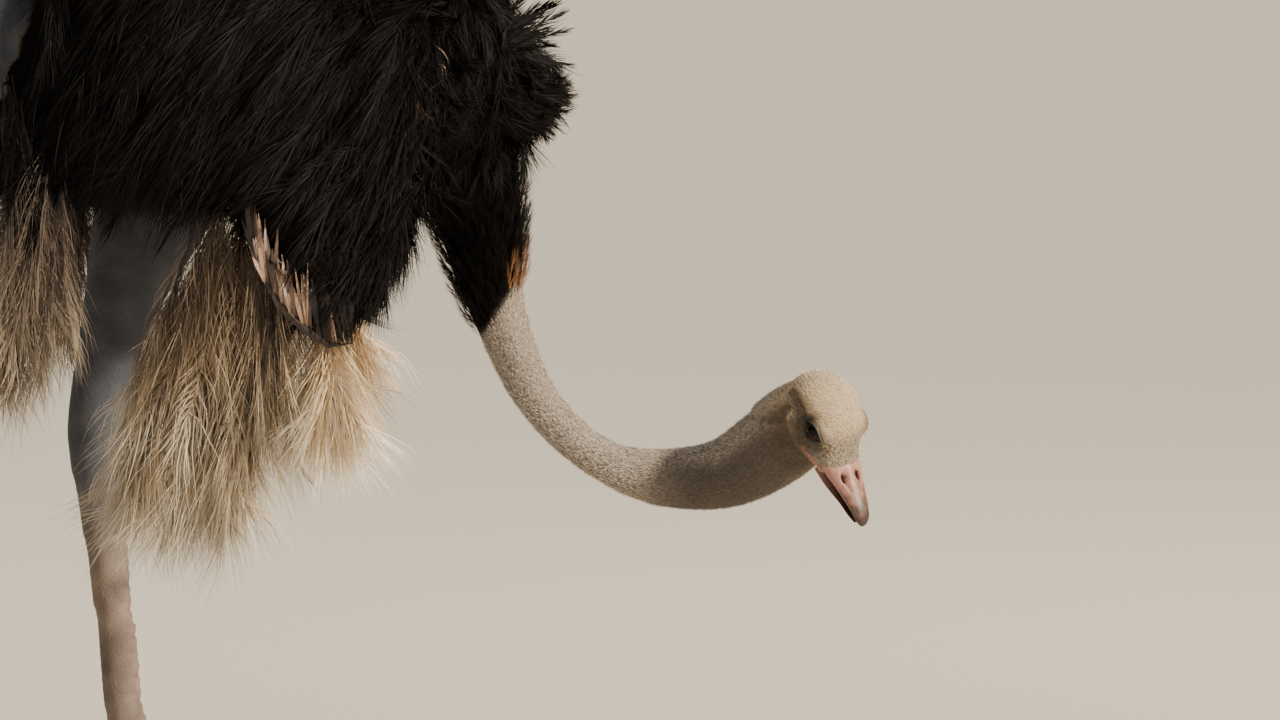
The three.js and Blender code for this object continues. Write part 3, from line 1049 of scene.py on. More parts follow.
@dataclass
class Skin:
    """The one skin over all the flesh.

    Attributes:
        voxel: the grid it is first made on, in metres.
        nodes: the CAD nodes it stands for.
    """

    voxel: float = 0.012
    nodes: list[str] = field(
        default_factory=lambda: [
            "trunk", "neck_base", "neck_lower", "neck_middle", "neck_upper", "head",
            *(f"{part}_{side}" for side in SIDES for part in LIMBS),
        ]
    )

    def flesh(self) -> Mesh:
        """Joins the closed forms of the flesh on a voxel grid.

        Returns:
            The joined mesh.
        """
        bm = bmesh.new()
        TRUNK_CORE.loft(bm, 40, 44)
        NECK.loft(bm, 36, 90, 0.002)
        SKULL.loft(bm, 40, 36, 0.001)
        TAIL.loft(bm, 24, 20, 0.045)
        NAPE.loft(bm, 24, 20)
        for side in BIRD.values():
            side.wing().loft(bm, 32, 30, WING_DEPTH)
            for limb in (*side.legs(), *side.toes()):
                limb.loft(bm, 26, 30)
        self.form = BVHTree.FromBMesh(bm)
        rough = made_mesh(bm, "flesh")
        holder = link_object("flesh", rough)
        grid = holder.modifiers.new("grid", "REMESH")
        grid.mode = "VOXEL"
        grid.voxel_size = self.voxel
        graph = bpy.context.evaluated_depsgraph_get()
        joined = bpy.data.meshes.new_from_object(holder.evaluated_get(graph))
        bpy.data.objects.remove(holder)
        bpy.data.meshes.remove(rough)
        return joined

    def settle(self, bm: BMesh, rounds: int) -> None:
        """Smooths the grid's steps away and lays the open surface back on the form.

        Args:
            bm: the skin's bmesh.
            rounds: how often it is smoothed.
        """
        for _ in range(rounds):
            bmesh.ops.smooth_vert(bm, verts=bm.verts, factor=0.5, **ALL_WAYS)
        for vert in bm.verts:
            at, _, _, gap = self.form.find_nearest(vert.co, 0.02)
            if at is not None:
                vert.co = vert.co.lerp(at, 0.9 * max(0.0, 1 - gap / 0.008))
        bmesh.ops.smooth_vert(bm, verts=bm.verts, factor=0.5, **ALL_WAYS)

    def refine(self, bm: BMesh, wanted: Callable[[Vector], bool]) -> None:
        """Halves some faces and evens them out.

        Args:
            bm: the skin's bmesh.
            wanted: says whether a face with this middle is halved.
        """
        faces = [f for f in bm.faces if wanted(f.calc_center_median())]
        LOG.info("refining %d of %d faces", len(faces), len(bm.faces))
        edges = list(dict.fromkeys(e for f in faces for e in f.edges))
        bmesh.ops.subdivide_edges(bm, edges=edges, cuts=1, use_grid_fill=True, smooth=0.5)
        bmesh.ops.triangulate(bm, faces=[f for f in bm.faces if len(f.verts) > 4])
        near = [v for v in bm.verts if wanted(v.co)]
        bmesh.ops.smooth_vert(bm, verts=near, factor=0.5, **ALL_WAYS)

    def build(self) -> Object:
        """Builds the skin with its head, feet and markings.

        Returns:
            The skin.
        """
        mesh = self.flesh()
        bm = bmesh.new()
        bm.from_mesh(mesh)
        self.settle(bm, 4)
        head = [Vector(HEAD.centre) * MM]
        eyes = [Vector(HEAD.to_world(np.array([[6.0, s * 40, 0]]))[0]) for s in (-1, 1)]
        feet = [Vector((s.ankle + 60, s.sign * s.spread, 20)) * MM for s in BIRD.values()]
        collar, way = COLLAR
        self.refine(bm, lambda p: p.x > 0.38 and (p - collar).dot(way) < 0.02)
        for centres, reach in ((head, 0.11), (head, 0.082), (eyes, 0.030), (eyes, 0.020)):
            self.refine(bm, lambda p: min((p - centre).length for centre in centres) < reach)
        self.refine(bm, lambda p: p.z < 0.48 and p.x < 0.2)
        self.refine(bm, lambda p: min((p - foot).length for foot in feet) < 0.14)
        self.settle(bm, 1)
        bm.normal_update()
        bm.to_mesh(mesh)
        bm.free()
        self.shape_head(mesh)
        self.shape_feet(mesh)
        self.mark(mesh)
        mesh.shade_smooth()
        return place_piece(mesh, "skin", "neck_down", self.nodes, SkinFinish().make())

    def shape_head(self, mesh: Mesh) -> None:
        """Moves the head's vertices into lids, brows, ears and the corners of the mouth.

        Args:
            mesh: the skin's mesh.
        """
        world = read_mesh(mesh)
        rows = HEAD.to_head(world)
        near = np.linalg.norm(rows, axis=1) < HEAD.reach
        part = rows[near]
        for shape in (self.shape_cheek, self.shape_eye):
            for sign in (-1, 1):
                part = shape(part, sign)
        world[near] = HEAD.to_world(part)
        move_mesh(mesh, world)

    def shape_eye(self, rows: Array, sign: int) -> Array:
        """Lays lids over one eyeball and opens them.

        Args:
            rows: the head's vertices, in the head's frame.
            sign: 1 for the eye on the head's right, -1 for the left.

        Returns:
            The moved vertices.
        """
        eye, gaze, ahead, up = HEAD.eye(sign)
        out = rows - eye
        far = np.linalg.norm(out, axis=1)
        way = out / far[:, None]
        radius, wide = HEAD.eye_radius, HEAD.eye_half
        x = np.arctan2(way @ ahead, way @ gaze) * radius
        y = np.arctan2(way @ up, way @ gaze) * radius
        front = smoothstep(-0.35, 0.05, way @ gaze)
        room = np.clip(1 - (x / wide) ** 2, 0.0, 1)
        tall = np.where(y > 0, *HEAD.eye_tall) * room + 0.05
        edge = np.where(np.abs(x) < wide, np.abs(y) - tall, np.hypot(np.abs(x) - wide, y))
        upper = smoothstep(-2, 4, y)

        def fold(at: float, wide: float) -> Array:
            """Gives a fold along the lids, so far from their edge and so wide."""
            return np.exp(-((edge - at) ** 2) / wide)

        lid = radius + 1.0 + 1.0 * fold(1.0, 1.0)
        lid += upper * (0.9 * smoothstep(-2, 10, edge) - 1.9 * fold(12.5, 2.6))
        lid += upper * 0.35 * np.sin(edge * 2.1) * smoothstep(2, 5, edge)
        lid += (1 - upper) * (-0.8 * fold(3.8, 1.4) + 0.8 * fold(6.4, 2.6))
        hollow = radius - 3.0
        target = np.where(edge < 0, hollow + (lid - hollow) * smoothstep(-0.9, 0.0, edge), lid)
        hold = (1 - smoothstep(8.0, 20.0, edge)) * front
        moved = far + (target - far) * hold
        cover = (radius + 1.0) * (edge > 0) * front
        moved = np.where((way @ gaze > -0.3) & (edge > 0), np.maximum(moved, cover), moved)
        near = far < 60
        return np.where(near[:, None], eye + way * moved[:, None], rows)

    def shape_cheek(self, rows: Array, sign: int) -> Array:
        """Adds the brow, ear opening, lore and corner of the mouth on one side.

        Args:
            rows: the head's vertices, in the head's frame.
            sign: 1 for the head's right, -1 for its left.

        Returns:
            The moved vertices.
        """
        out = rows.copy()
        outward = unit(rows * (0.25, 1, 1))
        for (x, y, z), size, height in CHEEK_BULGES:
            gap = (rows - np.array([x, sign * y, z])) / np.array(size)
            out += height * np.exp(-(gap**2).sum(axis=1))[:, None] * outward
        share, gap = gap_to_line(rows * (1, sign, 1), np.array([46.0, 25, -29]), GAPE_CORNER)
        height = -2.8 * np.exp(-(gap**2) / 2.4) + 1.3 * np.exp(-((gap - 4.2) ** 2) / 5)
        return out + (height * (1 - 0.5 * share))[:, None] * outward

    def shape_feet(self, mesh: Mesh) -> None:
        """Flattens the soles on the floor and raises scutes on shanks and toes.

        Args:
            mesh: the skin's mesh.
        """
        world, normals = read_mesh(mesh), read_mesh(mesh, "normal")
        x, y, z = world.T.copy()
        leg = (z < 0.46) & (x < 0.3)
        toe = z < 0.065
        front = np.clip(normals[:, 0] * 1.6 + 0.1, 0, 1) * ~toe
        front += np.clip(normals[:, 2] * 1.4 - 0.1, 0, 1) * toe
        skew = normals[:, 1] * np.where(toe, 0.25, 0.5)
        along = np.where(toe, x / TOE_SCUTE, z / SHANK_SCUTE) + skew**2
        step = along % 1.0
        plate = np.clip(step / 0.75, 0, 1) ** 0.5 - smoothstep(0.78, 1.0, step)
        grain = np.sin(z / 0.0022) * np.sin(x / 0.0019 + y / 0.0021) * 0.25
        height = 0.0027 * (plate - 0.6) * front + 0.0014 * grain * (1 - front)
        world += normals * np.where(leg, height, 0)[:, None]
        pad = smoothstep(0.02, 0.0, world[:, 2]) * leg
        world[:, 2] += pad * 0.0012 * np.sin(world[:, 0] / 0.0035) * (world[:, 2] > 0.002)
        world[:, 2] = np.maximum(world[:, 2], 0)
        seam = 1 - smoothstep(0.0, 0.22, np.minimum(step, 1 - step))
        paint(mesh, "scute", np.where(leg, seam * front, 0))
        move_mesh(mesh, world)

    def mark(self, mesh: Mesh) -> None:
        """Stores where skin is dark, bare or scaled, and the face's marks: painted shade, dark eye rings,
        the gape and painted sunlight on the crown.

        Args:
            mesh: the skin's mesh.
        """
        world = read_mesh(mesh)
        x, _, z = world.T
        dark = smoothstep(-0.006, 0.01, beyond_collar(world))
        legs = self.mark_legs(world)
        scales = np.where(x < 0.3, 1 - smoothstep(0.32, 0.5, z), 0)
        paint(mesh, "zone", dark * (1 - legs) * (1 - scales), legs, scales)
        rows = HEAD.to_head(world)
        near = np.linalg.norm(rows, axis=1) < HEAD.reach
        eye = eye_ring_and_shade(rows)
        gape = np.zeros(len(world))
        for sign in (-1, 1):
            way = np.array([1, sign, 1])
            _, gap = gap_to_line(rows, np.array([48.0, 25, -29]) * way, GAPE_CORNER * way)
            gape = np.maximum(gape, 1 - smoothstep(3, 7, gap))
        # the top of the head is painted lighter: painted sunlight on the crown
        crown = smoothstep(8, 26, rows[:, 2]) * smoothstep(-80, -40, rows[:, 0]) * (1 - eye)
        # painted shade where the head's shadow falls on throat and upper neck
        shade = painted_neck_shade(world, read_mesh(mesh, "normal"))
        paint(mesh, "face", np.maximum(eye * near * 0.85, 0.8 * shade), gape * near, crown * near * 0.8)

    def mark_legs(self, world: Array) -> Array:
        """Finds the legs' bare skin, clear of what trunk and wings cover.

        Args:
            world: the skin's vertices, in metres.

        Returns:
            A share for each, from 0 to 1.
        """
        x, _, z = world.T
        legs = np.zeros(len(world))
        share = np.linspace(0, 1, 60)
        for side in BIRD.values():
            near = np.full(len(world), 9.0)
            for row in np.vstack([limb.station(share) for limb in side.legs()]):
                gap = np.linalg.norm(world - row[:3], axis=1) - max(row[3], row[4])
                near = np.minimum(near, gap)
            legs = np.maximum(legs, 1 - smoothstep(0.004, 0.02, near))
        wings = tree_of(*(side.wing() for side in BIRD.values()), inset=WING_DEPTH)
        covers = (tree_of(TRUNK_CORE), wings)
        legs *= 1 - smoothstep(1.07, 1.10, z)
        for i in np.nonzero((legs > 0) & (z > 0.7))[0]:
            spot = Vector(world[i])
            if any(is_inside(tree, spot) or tree.find_nearest(spot)[3] < 0.006 for tree in covers):
                legs[i] = 0
        return np.where(z < 0.1, 1, np.where(x > 0.3, 0, legs))


# ---- bill, eyes and claws
@dataclass
class Bill:
    """The two jaws of the bill, in the head's frame and millimetres."""

    upper: Stations = (
        (34, 0, -20, 26, 14, 9), (48, 0, -22, 24, 12.5, 8), (60, 0, -23.5, 20.5, 10.5, 6),
        (79, 0, -26, 16, 8, 5), (95, 0, -28.5, 12.5, 6.6, 4.6), (107, 0, -32, 9.5, 5.4, 4.4),
        (113, 0, -35, 5.5, 3.6, 3.2), (115, 0, -36.5, 2, 1.5, 1.5),
    )
    lower: Stations = (
        (30, 0, -35, 25, 6, 11), (48, 0, -36, 22.5, 6.4, 9.5), (60, 0, -36.5, 20, 6.6, 8),
        (79, 0, -37, 15, 5.6, 5.5), (95, 0, -38.5, 11.5, 3.6, 4), (106, 0, -41, 6.5, 1.8, 2),
    )
    nostril: Triple = (59, 10, -14.5)

    def jaw(self, stations: Stations, name: str) -> Object:
        """Builds one jaw with its edge, culmen and nostrils.

        Args:
            stations: the jaw's stations.
            name: the CAD node it stands for, and its own name.

        Returns:
            The jaw.
        """
        mesh = HEAD.sweep(stations, 1.2).mesh(name, 48, 64)
        rows = HEAD.to_head(read_mesh(mesh))
        first, last = stations[0][0], stations[-1][0]
        along = np.clip((rows[:, 0] - first) / (last - first), 0, 1)
        middle = np.interp(rows[:, 0], [s[0] for s in stations], [s[2] for s in stations])
        if name == "bill_upper":
            painted_shade = self.shape_upper(rows, middle, along)
        else:
            rows[:, 2] = np.minimum(rows[:, 2], middle + 5.0 * (1 - along) + 1.4)
            # the lower jaw, under the upper one, takes painted shade, most towards the tip
            painted_shade = 0.35 * smoothstep(0.0, 0.8, along) + 0.6
        move_mesh(mesh, HEAD.to_world(rows))
        paint(mesh, "horn", painted_shade, along)
        mesh.shade_smooth()
        return place_piece(mesh, name, "bill", [name], BILL_HORN.make())

    def shape_upper(self, rows: Array, middle: Array, along: Array) -> Array:
        """Carves the nostrils into the upper jaw, raises its culmen and trims its edge.

        Args:
            rows: its vertices in the head's frame, which are moved.
            middle: the height of its middle line at each.
            along: the share of its length at each.

        Returns:
            How much painted shade each vertex takes, from 0 to 1.
        """
        painted_shade = np.zeros(len(rows))
        for sign in (-1, 1):
            above = rows[:, 2] > middle
            out = rows[:, :2] - (np.array(self.nostril) * (1, sign, 1))[:2]
            pit = np.exp(-((out / (6.8, 3.8)) ** 2).sum(axis=1) ** 1.8) * above
            run = np.clip(out[:, 0], 0, 24)
            groove = np.exp(-(((rows[:, 1] - sign * (10 - run * 0.16)) / 1.7) ** 2))
            groove *= smoothstep(0, 6, run) * smoothstep(24, 10, run) * above
            rim = np.exp(-(((out - (0, sign * 4.4)) / (9, 1.8)) ** 2).sum(axis=1))
            rows[:, 2] += 0.7 * rim * above - 4.5 * pit - 1.3 * groove
            # painted shade in the nostril pits and the grooves before them
            painted_shade = np.maximum(painted_shade, np.maximum(smoothstep(0.3, 0.7, pit), 0.45 * groove))
        culmen = np.exp(-((rows[:, 1] / 5) ** 2)) * (rows[:, 2] > middle)
        rows[:, 2] += 1.5 * culmen * (1 - along)
        rows[:, 2] = np.maximum(rows[:, 2], middle - 6.2 + 0.9 * np.sin(along * 6))
        # painted shade along the upper jaw's lower edge
        return np.maximum(painted_shade, 0.5 * smoothstep(0, 3, middle - rows[:, 2]))

    def build(self) -> None:
        """Builds both jaws."""
        self.jaw(self.upper, "bill_upper")
        self.jaw(self.lower, "bill_lower")


@dataclass
class Eye:
    """One eyeball with a bulging cornea.

    Attributes:
        side: the side of the head.
        finish: the eye's material.
        cornea: the angle from the gaze within which it bulges.
        bulge: how far, as a share of the radius.
    """

    side: str
    finish: Material
    cornea: float = 0.62
    bulge: float = 0.03

    def build(self) -> Object:
        """Builds the eyeball where the CAD has it.

        Returns:
            The eyeball.
        """
        name = f"eye_{self.side}"
        centre, gaze, _, _ = HEAD.eye(-SIDES[self.side])
        bm = bmesh.new()
        bmesh.ops.create_uvsphere(bm, u_segments=56, v_segments=44, radius=HEAD.eye_radius * MM)
        angles = []
        for vert in bm.verts:
            angle = vert.co.angle(Vector((0, 0, 1)), 0.0)
            vert.co *= 1 + self.bulge * max(0.0, 1 - (angle / self.cornea) ** 2) ** 2
            angles.append(angle / math.pi * 2)
        turn = Vector(gaze @ HEAD.basis()).to_track_quat("Z", "Y").to_matrix()
        bmesh.ops.rotate(bm, verts=bm.verts, matrix=turn)
        bmesh.ops.translate(bm, verts=bm.verts, vec=Vector(HEAD.to_world(centre)))
        mesh = made_mesh(bm, name)
        paint(mesh, "iris", np.array(angles))
        mesh.shade_smooth()
        return place_piece(mesh, name, "eye", [name], self.finish)


@dataclass
class Lashes:
    """The stiff black lashes along both lids of one eye.

    Attributes:
        side: the side of the head.
        finish: the lashes' material.
        rows: the upper and the lower lid's count, edge, length and hang, in millimetres.
    """

    side: str
    finish: Material
    rows: Stations = ((64, 8.0, 5.0, -0.9), (30, -8.8, 2.4, -0.6))

    def build(self) -> Object:
        """Builds the lashes in two rows.

        Returns:
            The lashes.
        """
        rng = np.random.default_rng(Seed.LASHES)
        eye, gaze, ahead, up = HEAD.eye(-SIDES[self.side])
        radius = HEAD.eye_radius
        share = np.linspace(0, 1, 4)[None, :, None]
        fringe = Fringe()
        for count, edge, size, hang in self.rows:
            x = np.linspace(-0.95, 0.95, count) * HEAD.eye_half
            y = edge * np.clip(1 - (x / HEAD.eye_half) ** 2, 0, 1) + rng.normal(0, 0.25, count)
            way = gaze * np.cos(x / radius)[:, None] + ahead * np.sin(x / radius)[:, None]
            way = unit(way + up * (y / radius)[:, None])
            root = eye + way * (radius + 1.2)
            long = size * rng.uniform(0.7, 1.1, (count, 1))
            lean = unit(way * 0.5 + up * hang + ahead * rng.normal(0.1, 0.15, (count, 1)))
            rows = root[:, None] + long[:, None] * (lean[:, None] * share + (up * 0.35) * share**2)
            placed = HEAD.to_world(rows.reshape(-1, 3)).reshape(rows.shape)
            facing = np.tile(up @ HEAD.basis(), (count, 1))
            tone = np.broadcast_to(np.array([0.1, 0.2, 0.5]), (count, 4, 3))
            row = np.full(count, 0.3 + 0.02 * edge)
            spot = np.stack([0.05 + 0.9 * np.arange(count) / count, row], axis=1)
            fringe.add(placed, facing, np.full(count, 0.0006), tone, spot[:, None] + BAKE_PATCH * share)
        name = f"lashes_{self.side}"
        return place_piece(fringe.mesh(name), name, "black_plumage", (), self.finish)


@dataclass
class Claws:
    """The claws of one foot."""

    side: str
    finish: Material

    def build(self) -> None:
        """Builds the large toe's claw and the small one's."""
        for sweep, size in zip(BIRD[self.side].claws(), ("large", "small")):
            name = f"claw_{size}_{self.side}"
            mesh = sweep.mesh(name, 20, 24)
            rows = read_mesh(mesh)
            rows[:, 2] = np.maximum(rows[:, 2], 0)
            move_mesh(mesh, rows)
            along = (rows[:, 0] - rows[:, 0].min()) / np.ptp(rows[:, 0])
            paint(mesh, "horn", np.zeros(len(rows)), along)
            mesh.shade_smooth()
            place_piece(mesh, name, "claw", [name], self.finish)


# ---- feathers
BAKE_PATCH = 0.003  # the size of a feather's place on the bake map


def tones(*channels: Any) -> Array:
    """Broadcasts three channels, as ribbons x points, to the numbers that a finish reads."""
    return np.stack(np.broadcast_arrays(*channels), axis=-1)


@dataclass(frozen=True)
class Vane:
    """How one kind of feather is made.

    Attributes:
        length: of the feather, in metres.
        barbs: how many on both sides of the rachis.
        reach: the length of its longest barbs, in metres.
        angle: how far barbs splay from the rachis, in degrees.
        curl: how far barb ends curl off to a random side, as a share of their length.
        droop: how far they hang, as a share of their length.
        width: of a barb, in metres.
        segments: steps along a barb.
        start: where on the rachis the barbs begin.
        lift: how high the feather rises over the skin, in metres.
        cling: how closely it follows the skin, from 0 for free to 1.
        sag: how strongly gravity bends the rachis.
        stray: how far single feathers turn off the lie.
        blunt: how round the feather's end is, from 0 for pointed to 1.
        wave: how wavy its barbs are, as a share of their length.
        ruffle: how unevenly the barbs splay, in degrees.
    """

    length: float
    barbs: int
    reach: float
    angle: float = 32
    curl: float = 0.2
    droop: float = 0.1
    width: float = 0.0026
    segments: int = 4
    start: float = 0.12
    lift: float = 0.03
    cling: float = 0.9
    sag: float = 0.3
    stray: float = 0.16
    blunt: float = 0.0
    wave: float = 0.05
    ruffle: float = 5


@dataclass
class Roots:
    """Where feathers grow: places, outward normals and places on the skin's unwrap."""

    at: Array
    normal: Array
    unwrap: Array

    def keep(self, wanted: Array) -> "Roots":
        """Keeps the roots that are wanted."""
        return Roots(self.at[wanted], self.normal[wanted], self.unwrap[wanted])


def scatter(
    sweep: Sweep, pitch: float, rng: Rng, inset: float = 0.0,
    span: tuple[float, float] = (0.0, 1.0),
) -> Roots:
    """Spreads roots evenly over a sweep, in jittered rings.

    Args:
        sweep: the form to spread them over.
        pitch: the space between neighbours, in metres.
        rng: the source of randomness.
        inset: how far inside the form they lie.
        span: the share of the line they cover.

    Returns:
        The roots.
    """
    fine = np.linspace(*span, 200)
    line = sweep.surface(fine, np.full(200, math.pi / 2), inset)
    other = sweep.surface(fine, np.full(200, -math.pi / 2), inset)
    run = np.linalg.norm(np.diff(line, axis=0), axis=1) + np.linalg.norm(np.diff(other, axis=0), axis=1)
    path = np.concatenate([[0], np.cumsum(run / 2)])
    count = max(2, int(path[-1] / pitch))
    rings = np.interp((np.arange(count) + 0.5) / count * path[-1], path, fine)
    ts, turns = [], []
    step = (span[1] - span[0]) / count
    for t in rings:
        row = sweep.station(np.array([t]))[0]
        half, tall = max(row[3] - inset, 0.004), max((row[4] + row[5]) / 2 - inset, 0.004)
        round_ = math.pi * (3 * (half + tall) - math.sqrt((3 * half + tall) * (half + 3 * tall)))
        n = max(3, int(round_ / pitch))
        turns.append((np.arange(n) + rng.uniform(-0.45, 0.45, n) + rng.uniform()) / n * 2 * math.pi)
        ts.append(np.clip(t + rng.uniform(-0.45, 0.45, n) * step, *span))
    t, turn = np.concatenate(ts), np.concatenate(turns) % FULL_TURN
    at = sweep.surface(t, turn, inset)
    along = sweep.surface(t + 0.004, turn, inset) - sweep.surface(t - 0.004, turn, inset)
    around = sweep.surface(t, turn + 0.02, inset) - sweep.surface(t, turn - 0.02, inset)
    normal = unit(np.cross(around, along))
    middle = sweep.station(t)[:, :3]
    normal *= np.sign(((at - middle) * normal).sum(axis=1))[:, None]
    return Roots(at, normal, round_map(t, turn))


def round_map(share: Array, turn: Array) -> Array:
    """Places roots on the bake map by their share along a form and their turn round it."""
    return np.stack([0.01 + 0.97 * share, 0.01 + 0.97 * turn / FULL_TURN], axis=1)


Lie = Callable[[Vector, Vector], Vector]


def trace(
    roots: Roots, vane: Vane, lie: Lie, carrier: BVHTree, rng: Rng, steps: int = 6,
    sizes: Array | None = None,
) -> tuple[Array, Array]:
    """Lays each feather's rachis along the body.

    Args:
        roots: where the feathers grow.
        vane: the kind of feather.
        lie: the way feathers point, from a place and the normal there.
        carrier: the skin to follow.
        rng: the source of randomness.
        steps: how many steps a rachis has.
        sizes: each feather's length, where it isn't the kind's own.

    Returns:
        The rachis points and the normals at them, each as feathers x points x 3.
    """
    count = len(roots.at)
    lines = np.empty((count, steps + 1, 3))
    normals = np.empty((count, steps + 1, 3))
    if sizes is None:
        sizes = vane.length * rng.uniform(0.75, 1.15, count)
    lifts = vane.lift * rng.uniform(0.25, 1.0, count)
    sways = rng.normal(0, vane.stray, (count, 3))
    loose = 1 - vane.cling
    for i in range(count):
        at, normal = Vector(roots.at[i]), Vector(roots.normal[i])
        stride = sizes[i] / steps
        heading = (lie(at, normal) + Vector(sways[i])).normalized()
        for k in range(steps + 1):
            lines[i, k], normals[i, k] = at, normal
            free = at + heading * stride
            skin_at, skin_normal, _, _ = carrier.find_nearest(free)
            share = (k + 1) / steps
            height = lifts[i] * (1 - (1 - share) ** 2)
            held = skin_at + skin_normal * height
            cling = vane.cling
            if (free - skin_at).dot(skin_normal) < height * 0.5:
                cling = 1.0
            at = free.lerp(held, cling)
            normal = normal * 0.4 + skin_normal * 0.6 * vane.cling + normal * 0.6 * loose
            normal.normalize()
            turned = (lie(at, normal) + Vector(sways[i])) * 0.55 * vane.cling
            heading = heading * 0.45 + turned + heading * 0.55 * loose + DOWN * vane.sag * stride * 4
            heading.normalize()
    return lines, normals


@dataclass
class Fringe:
    """Ribbons gathered for one piece of the coat."""

    verts: list[Array] = field(default_factory=list)
    quads: list[Array] = field(default_factory=list)
    tips: list[Array] = field(default_factory=list)
    tones: list[Array] = field(default_factory=list)
    unwraps: list[Array] = field(default_factory=list)
    size: int = 0

    def add(
        self, lines: Array, facing: Array, width: Array, tone: Array, unwrap: Array,
        lens: bool = False,
    ) -> None:
        """Adds tapered ribbons.

        Args:
            lines: the ribbons' middle lines, as ribbons x points x 3.
            facing: the way each ribbon faces, as ribbons x 3.
            width: each ribbon's width, in metres.
            tone: three numbers per ribbon and point, for the finish.
            unwrap: the place on the bake map, per ribbon and point.
            lens: whether they narrow at the root too.
        """
        count, points, _ = lines.shape
        travel = np.gradient(lines, axis=1)
        across = unit(np.cross(travel, facing[:, None, :]))
        taper = np.clip(1.05 - np.linspace(0, 1, points) ** 1.7, 0, 1)
        if lens:
            taper *= np.clip(0.12 + np.linspace(0, 1, points) * 2.2, 0, 1)
        half = across * (width[:, None] * taper[None, :] / 2)[:, :, None]
        rows = np.empty((count, 2 * points - 1, 3))
        rows[:, 0:-1:2] = (lines - half)[:, :-1]
        rows[:, 1:-1:2] = (lines + half)[:, :-1]
        rows[:, -1] = lines[:, -1]
        pick = np.append(np.repeat(np.arange(points - 1), 2), points - 1)
        base = self.size + np.arange(count)[:, None] * (2 * points - 1)
        cell = np.array([[2 * k, 2 * k + 1, 2 * k + 3, 2 * k + 2] for k in range(points - 2)])
        end = np.array([[2 * points - 4, 2 * points - 3, 2 * points - 2]])
        self.verts.append(rows.reshape(-1, 3))
        self.tones.append(tone[:, pick].reshape(-1, 3))
        self.unwraps.append(unwrap[:, pick].reshape(-1, 2))
        if len(cell):
            self.quads.append((base[:, :, None] + cell[None]).reshape(-1, 4))
        self.tips.append((base[:, :, None] + end[None]).reshape(-1, 3))
        self.size += count * (2 * points - 1)

    def feathers(self, lines: Array, normals: Array, roots: Roots, vane: Vane, rng: Rng) -> None:
        """Adds whole feathers: a rachis each, and barbs on both its sides.

        Args:
            lines: the rachis points, as feathers x points x 3.
            normals: the normals at them.
            roots: where the feathers grow.
            vane: the kind of feather.
            rng: the source of randomness.
        """
        count, points, _ = lines.shape
        mood = rng.uniform(0, 1, count)
        share = np.linspace(0, 1, points)
        unwrap = roots.unwrap[:, None, :] + np.stack([share, 0 * share], axis=1)[None] * BAKE_PATCH
        rachis = np.full(count, vane.width * 1.6)
        self.add(lines, normals[:, 0], rachis, tones(mood[:, None], share, 0.0), unwrap)
        b = vane.barbs
        u = vane.start + (1 - vane.start) * (np.arange(b)[None] + rng.uniform(0, 1, (count, b))) / b
        side = np.where(np.arange(b) % 2 == 0, 1.0, -1.0)[None] * np.ones((count, 1))
        at = u * (points - 1) * 0.999
        i = np.minimum(at.astype(int), points - 2)
        f = (at - i)[:, :, None]
        pick = np.arange(count)[:, None]
        root = lines[pick, i] * (1 - f) + lines[pick, i + 1] * f
        travel = unit(lines[pick, i + 1] - lines[pick, i])
        normal = unit(normals[pick, i] * (1 - f) + normals[pick, i + 1] * f)
        across = unit(np.cross(travel, normal)) * side[:, :, None]
        close = 0.8 - 0.5 * vane.blunt
        splay = vane.angle * (1.1 - close * u**2) + rng.normal(0, vane.ruffle, u.shape)
        splay = np.radians(splay)[:, :, None]
        lean = rng.normal(0.05, 0.1, u.shape)[:, :, None]
        first = travel * np.cos(splay) + across * np.sin(splay) + normal * lean
        locks = rng.normal(0, 1, (count, 1, 3))
        bend = (0.75 * locks + 0.35 * rng.normal(0, 1, (*u.shape, 3))) * vane.curl
        bend += travel * 0.7 + np.array([0, 0, -1.0]) * vane.droop * 2 - across * 0.35 * np.sin(splay)
        base = 0.4 + 0.35 * vane.blunt * u
        reach = vane.reach * (base + (1 - base) * np.sin(math.pi * u**0.7))
        reach *= rng.uniform(0.7, 1.15, u.shape)
        v = np.linspace(0, 1, vane.segments + 1)[None, None, :, None]
        phase = (rng.uniform(0, 6.3, (count, 1)) + u * 9 + rng.normal(0, 0.5, u.shape))[:, :, None, None]
        swing = across[:, :, None] + normal[:, :, None] * 0.7
        wave = np.sin(v * 6 + phase) * swing * vane.wave
        rows = root[:, :, None] + reach[:, :, None, None] * (
            first[:, :, None] * v + bend[:, :, None] * v**2 * 0.5 + wave * v
        )
        flat = v[0, 0, :, 0]
        mood = np.clip(mood[:, None, None] + rng.normal(0, 0.12, u.shape)[:, :, None], 0, 1)
        tone = tones(mood, np.clip(u[:, :, None] * 0.8 + flat * 0.3, 0, 1), flat)
        unwrap = roots.unwrap[:, None, None, :] + BAKE_PATCH * tones(u[:, :, None], flat)
        facing = unit(normal + rng.normal(0, 0.35, normal.shape))
        self.add(
            rows.reshape(-1, vane.segments + 1, 3), facing.reshape(-1, 3),
            vane.width * rng.uniform(0.7, 1.3, count * b), tone.reshape(-1, vane.segments + 1, 3),
            unwrap.reshape(-1, vane.segments + 1, 2),
        )

    def grow(
        self, roots: Roots, vane: Vane, lie: Lie, carrier: BVHTree, rng: Rng, steps: int = 3
    ) -> None:
        """Lays feathers over the skin from their roots, and adds them."""
        lines, normals = trace(roots, vane, lie, carrier, rng, steps)
        self.feathers(lines, normals, roots, vane, rng)

